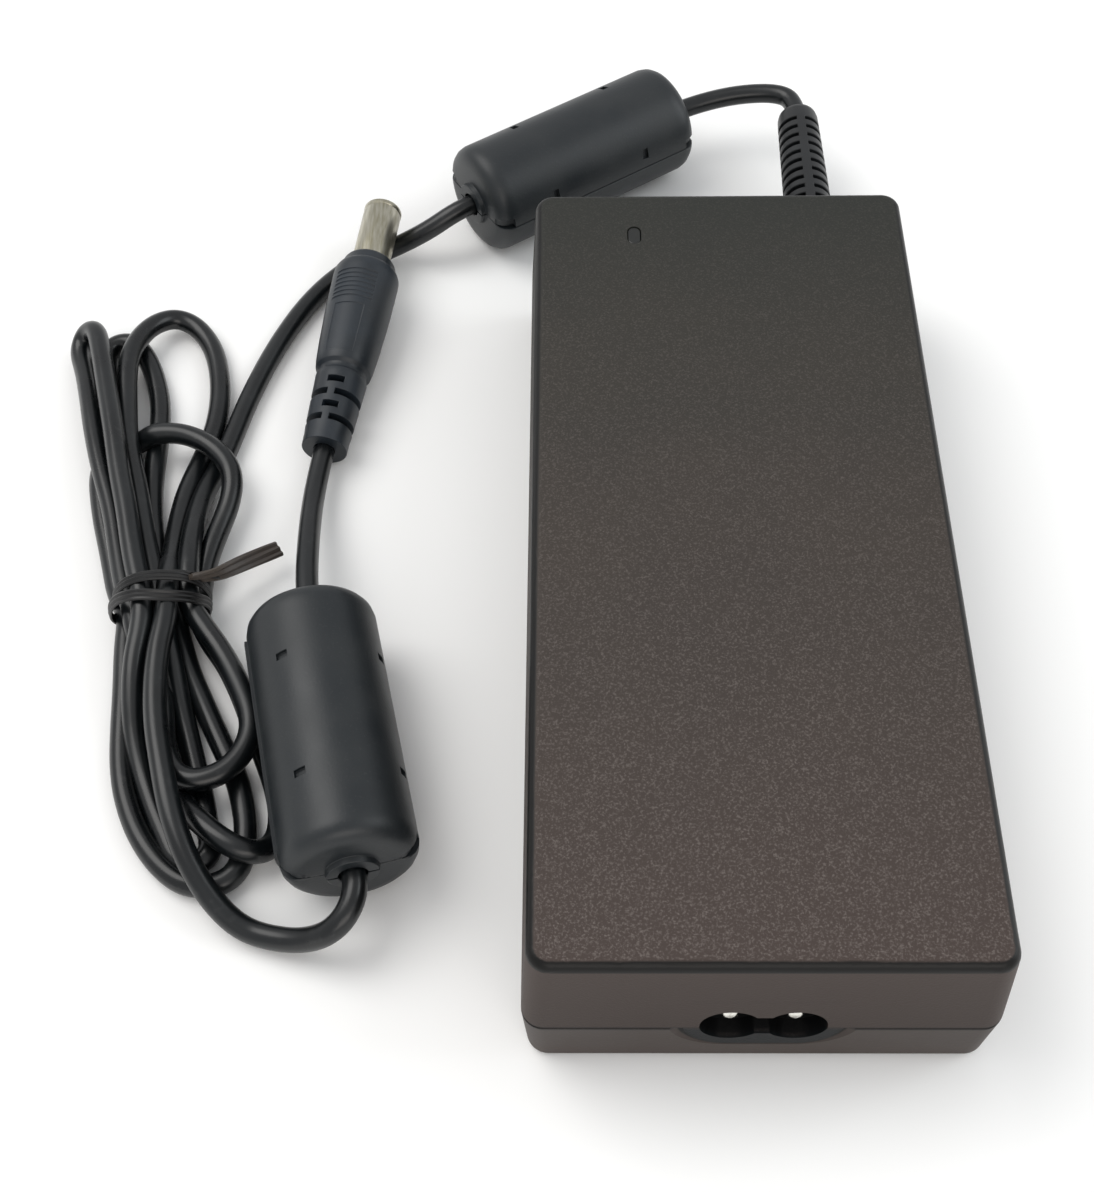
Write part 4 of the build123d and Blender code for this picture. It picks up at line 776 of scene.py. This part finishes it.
WIDE_FOLD_BELOW = [
    (-.0849, .0010, .0023), (-.0822, -.0040, .0023), (-.0794, -.0077, .0022),
    (-.0769, -.0123, .0021), (-.0748, -.0169, .0019), (-.0730, -.0214, .0019),
    (-.0700, -.0281, .0019), (-.0686, -.0324, .0019), (-.0681, -.0358, .0019),
    (-.0684, -.0388, .0021), (-.0697, -.0413, .0034), (-.0722, -.0421, .0052),
    (-.0754, -.0407, .0057), (-.0787, -.0380, .0055), (-.0819, -.0343, .0040),
    (-.0845, -.0303, .0022), (-.0872, -.0252, .0019), (-.0894, -.0195, .0019),
    (-.0911, -.0130, .0020), (-.0927, -.0065, .0032), (-.0940, -.0025, .0047),
]
OUTER_LEFT_FOLD_ABOVE = [
    (-.0948, .0010, .0056), (-.0963, .0040, .0056), (-.0987, .0123, .0055), (-.1009, .0205, .0054),
    (-.1040, .0288, .0055), (-.1068, .0376, .0052), (-.1095, .0474, .0042), (-.1114, .0534, .0032),
    (-.1131, .0578, .0028), (-.1129, .0605, .0036), (-.1114, .0613, .0054), (-.1094, .0596, .0070),
    (-.1076, .0540, .0077), (-.1048, .0441, .0083), (-.1021, .0346, .0089), (-.0999, .0260, .0090),
    (-.0974, .0178, .0090), (-.0954, .0099, .0090), (-.0936, .0040, .0089),
]
MIDDLE_FOLD_BELOW = [
    (-.0926, .0010, .0088), (-.0918, -.0044, .0083), (-.0924, -.0104, .0073),
    (-.0922, -.0164, .0054), (-.0914, -.0221, .0033), (-.0895, -.0281, .0020),
    (-.0871, -.0337, .0019), (-.0848, -.0381, .0019), (-.0831, -.0413, .0019),
    (-.0812, -.0427, .0019), (-.0789, -.0422, .0019), (-.0777, -.0398, .0019),
    (-.0790, -.0362, .0019), (-.0800, -.0321, .0019), (-.0813, -.0281, .0019),
    (-.0829, -.0234, .0020), (-.0843, -.0193, .0022), (-.0857, -.0148, .0032),
    (-.0870, -.0102, .0044), (-.0885, -.0055, .0052),
]
ROUND_FOLD_ABOVE = [
    (-.0905, .0010, .0056), (-.0919, .0060, .0056), (-.0935, .0110, .0056), (-.0953, .0170, .0055),
    (-.0974, .0250, .0055), (-.0993, .0310, .0056), (-.1008, .0366, .0056), (-.1020, .0440, .0056),
    (-.1031, .0515, .0057), (-.1029, .0565, .0056), (-.1016, .0615, .0048), (-.0994, .0650, .0038),
    (-.0966, .0665, .0030), (-.0935, .0654, .0024), (-.0907, .0622, .0020), (-.0885, .0575, .0019),
    (-.0869, .0500, .0019), (-.0867, .0420, .0019), (-.0881, .0345, .0019), (-.0894, .0294, .0020),
    (-.0902, .0250, .0021), (-.0904, .0185, .0027), (-.0900, .0120, .0042), (-.0894, .0060, .0070),
]
FREE_TAIL = [
    (-.0886, .0010, .0086), (-.0881, -.0040, .0090), (-.0885, -.0096, .0090),
    (-.0881, -.0165, .0089), (-.0870, -.0232, .0089), (-.0852, -.0298, .0090),
    (-.0836, -.0354, .0088), (-.0819, -.0401, .0080), (-.0797, -.0447, .0066),
    (-.0766, -.0490, .0046), (-.0730, -.0522, .0027), (-.0690, -.0539, .0020),
    (-.0624, -.0556, .0040), (-.0574, -.0554, .0080), (-.0548, -.0512, .0100),
    (-.0560, -.0460, .0100), (-.0634, -.0135, .0100), (-.06635, -.0005, .0100),
    (-.0675, .0126, .0074), (-.0681, .0264, .00355), (-.06690, .0352, .00428),
]
CORD_LINE = [
    *FREE_LEAD, *INNER_FOLD_BELOW, *SLIM_FOLD_ABOVE, *LOW_FOLD_BELOW, *SHORT_FOLD_ABOVE,
    *WIDE_FOLD_BELOW, *OUTER_LEFT_FOLD_ABOVE, *MIDDLE_FOLD_BELOW, *ROUND_FOLD_ABOVE, *FREE_TAIL,
]


def lay_cord():
    """The whole cord as one round tube along a smooth line."""
    line = bpy.data.curves.new("dc_cord", "CURVE")
    line.dimensions = "3D"
    spline = line.splines.new("NURBS")
    spline.points.add(len(CORD_LINE) - 1)
    for point, place in zip(spline.points, CORD_LINE):
        point.co = (*place, 1.0)
    spline.order_u = 3
    spline.use_endpoint_u = True
    line.resolution_u = CURVE_STEPS
    line.bevel_depth = CORD_DIAMETER / 2
    line.bevel_resolution = 7
    line.use_fill_caps = True
    cord = bpy.data.objects.new("dc_cord", line)
    cord.data.materials.append(CORD_PVC)
    bpy.context.collection.objects.link(cord)
    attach(cord, "root")
    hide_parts("cord_lead", "cord_hank", "cord_tail")


lay_cord()
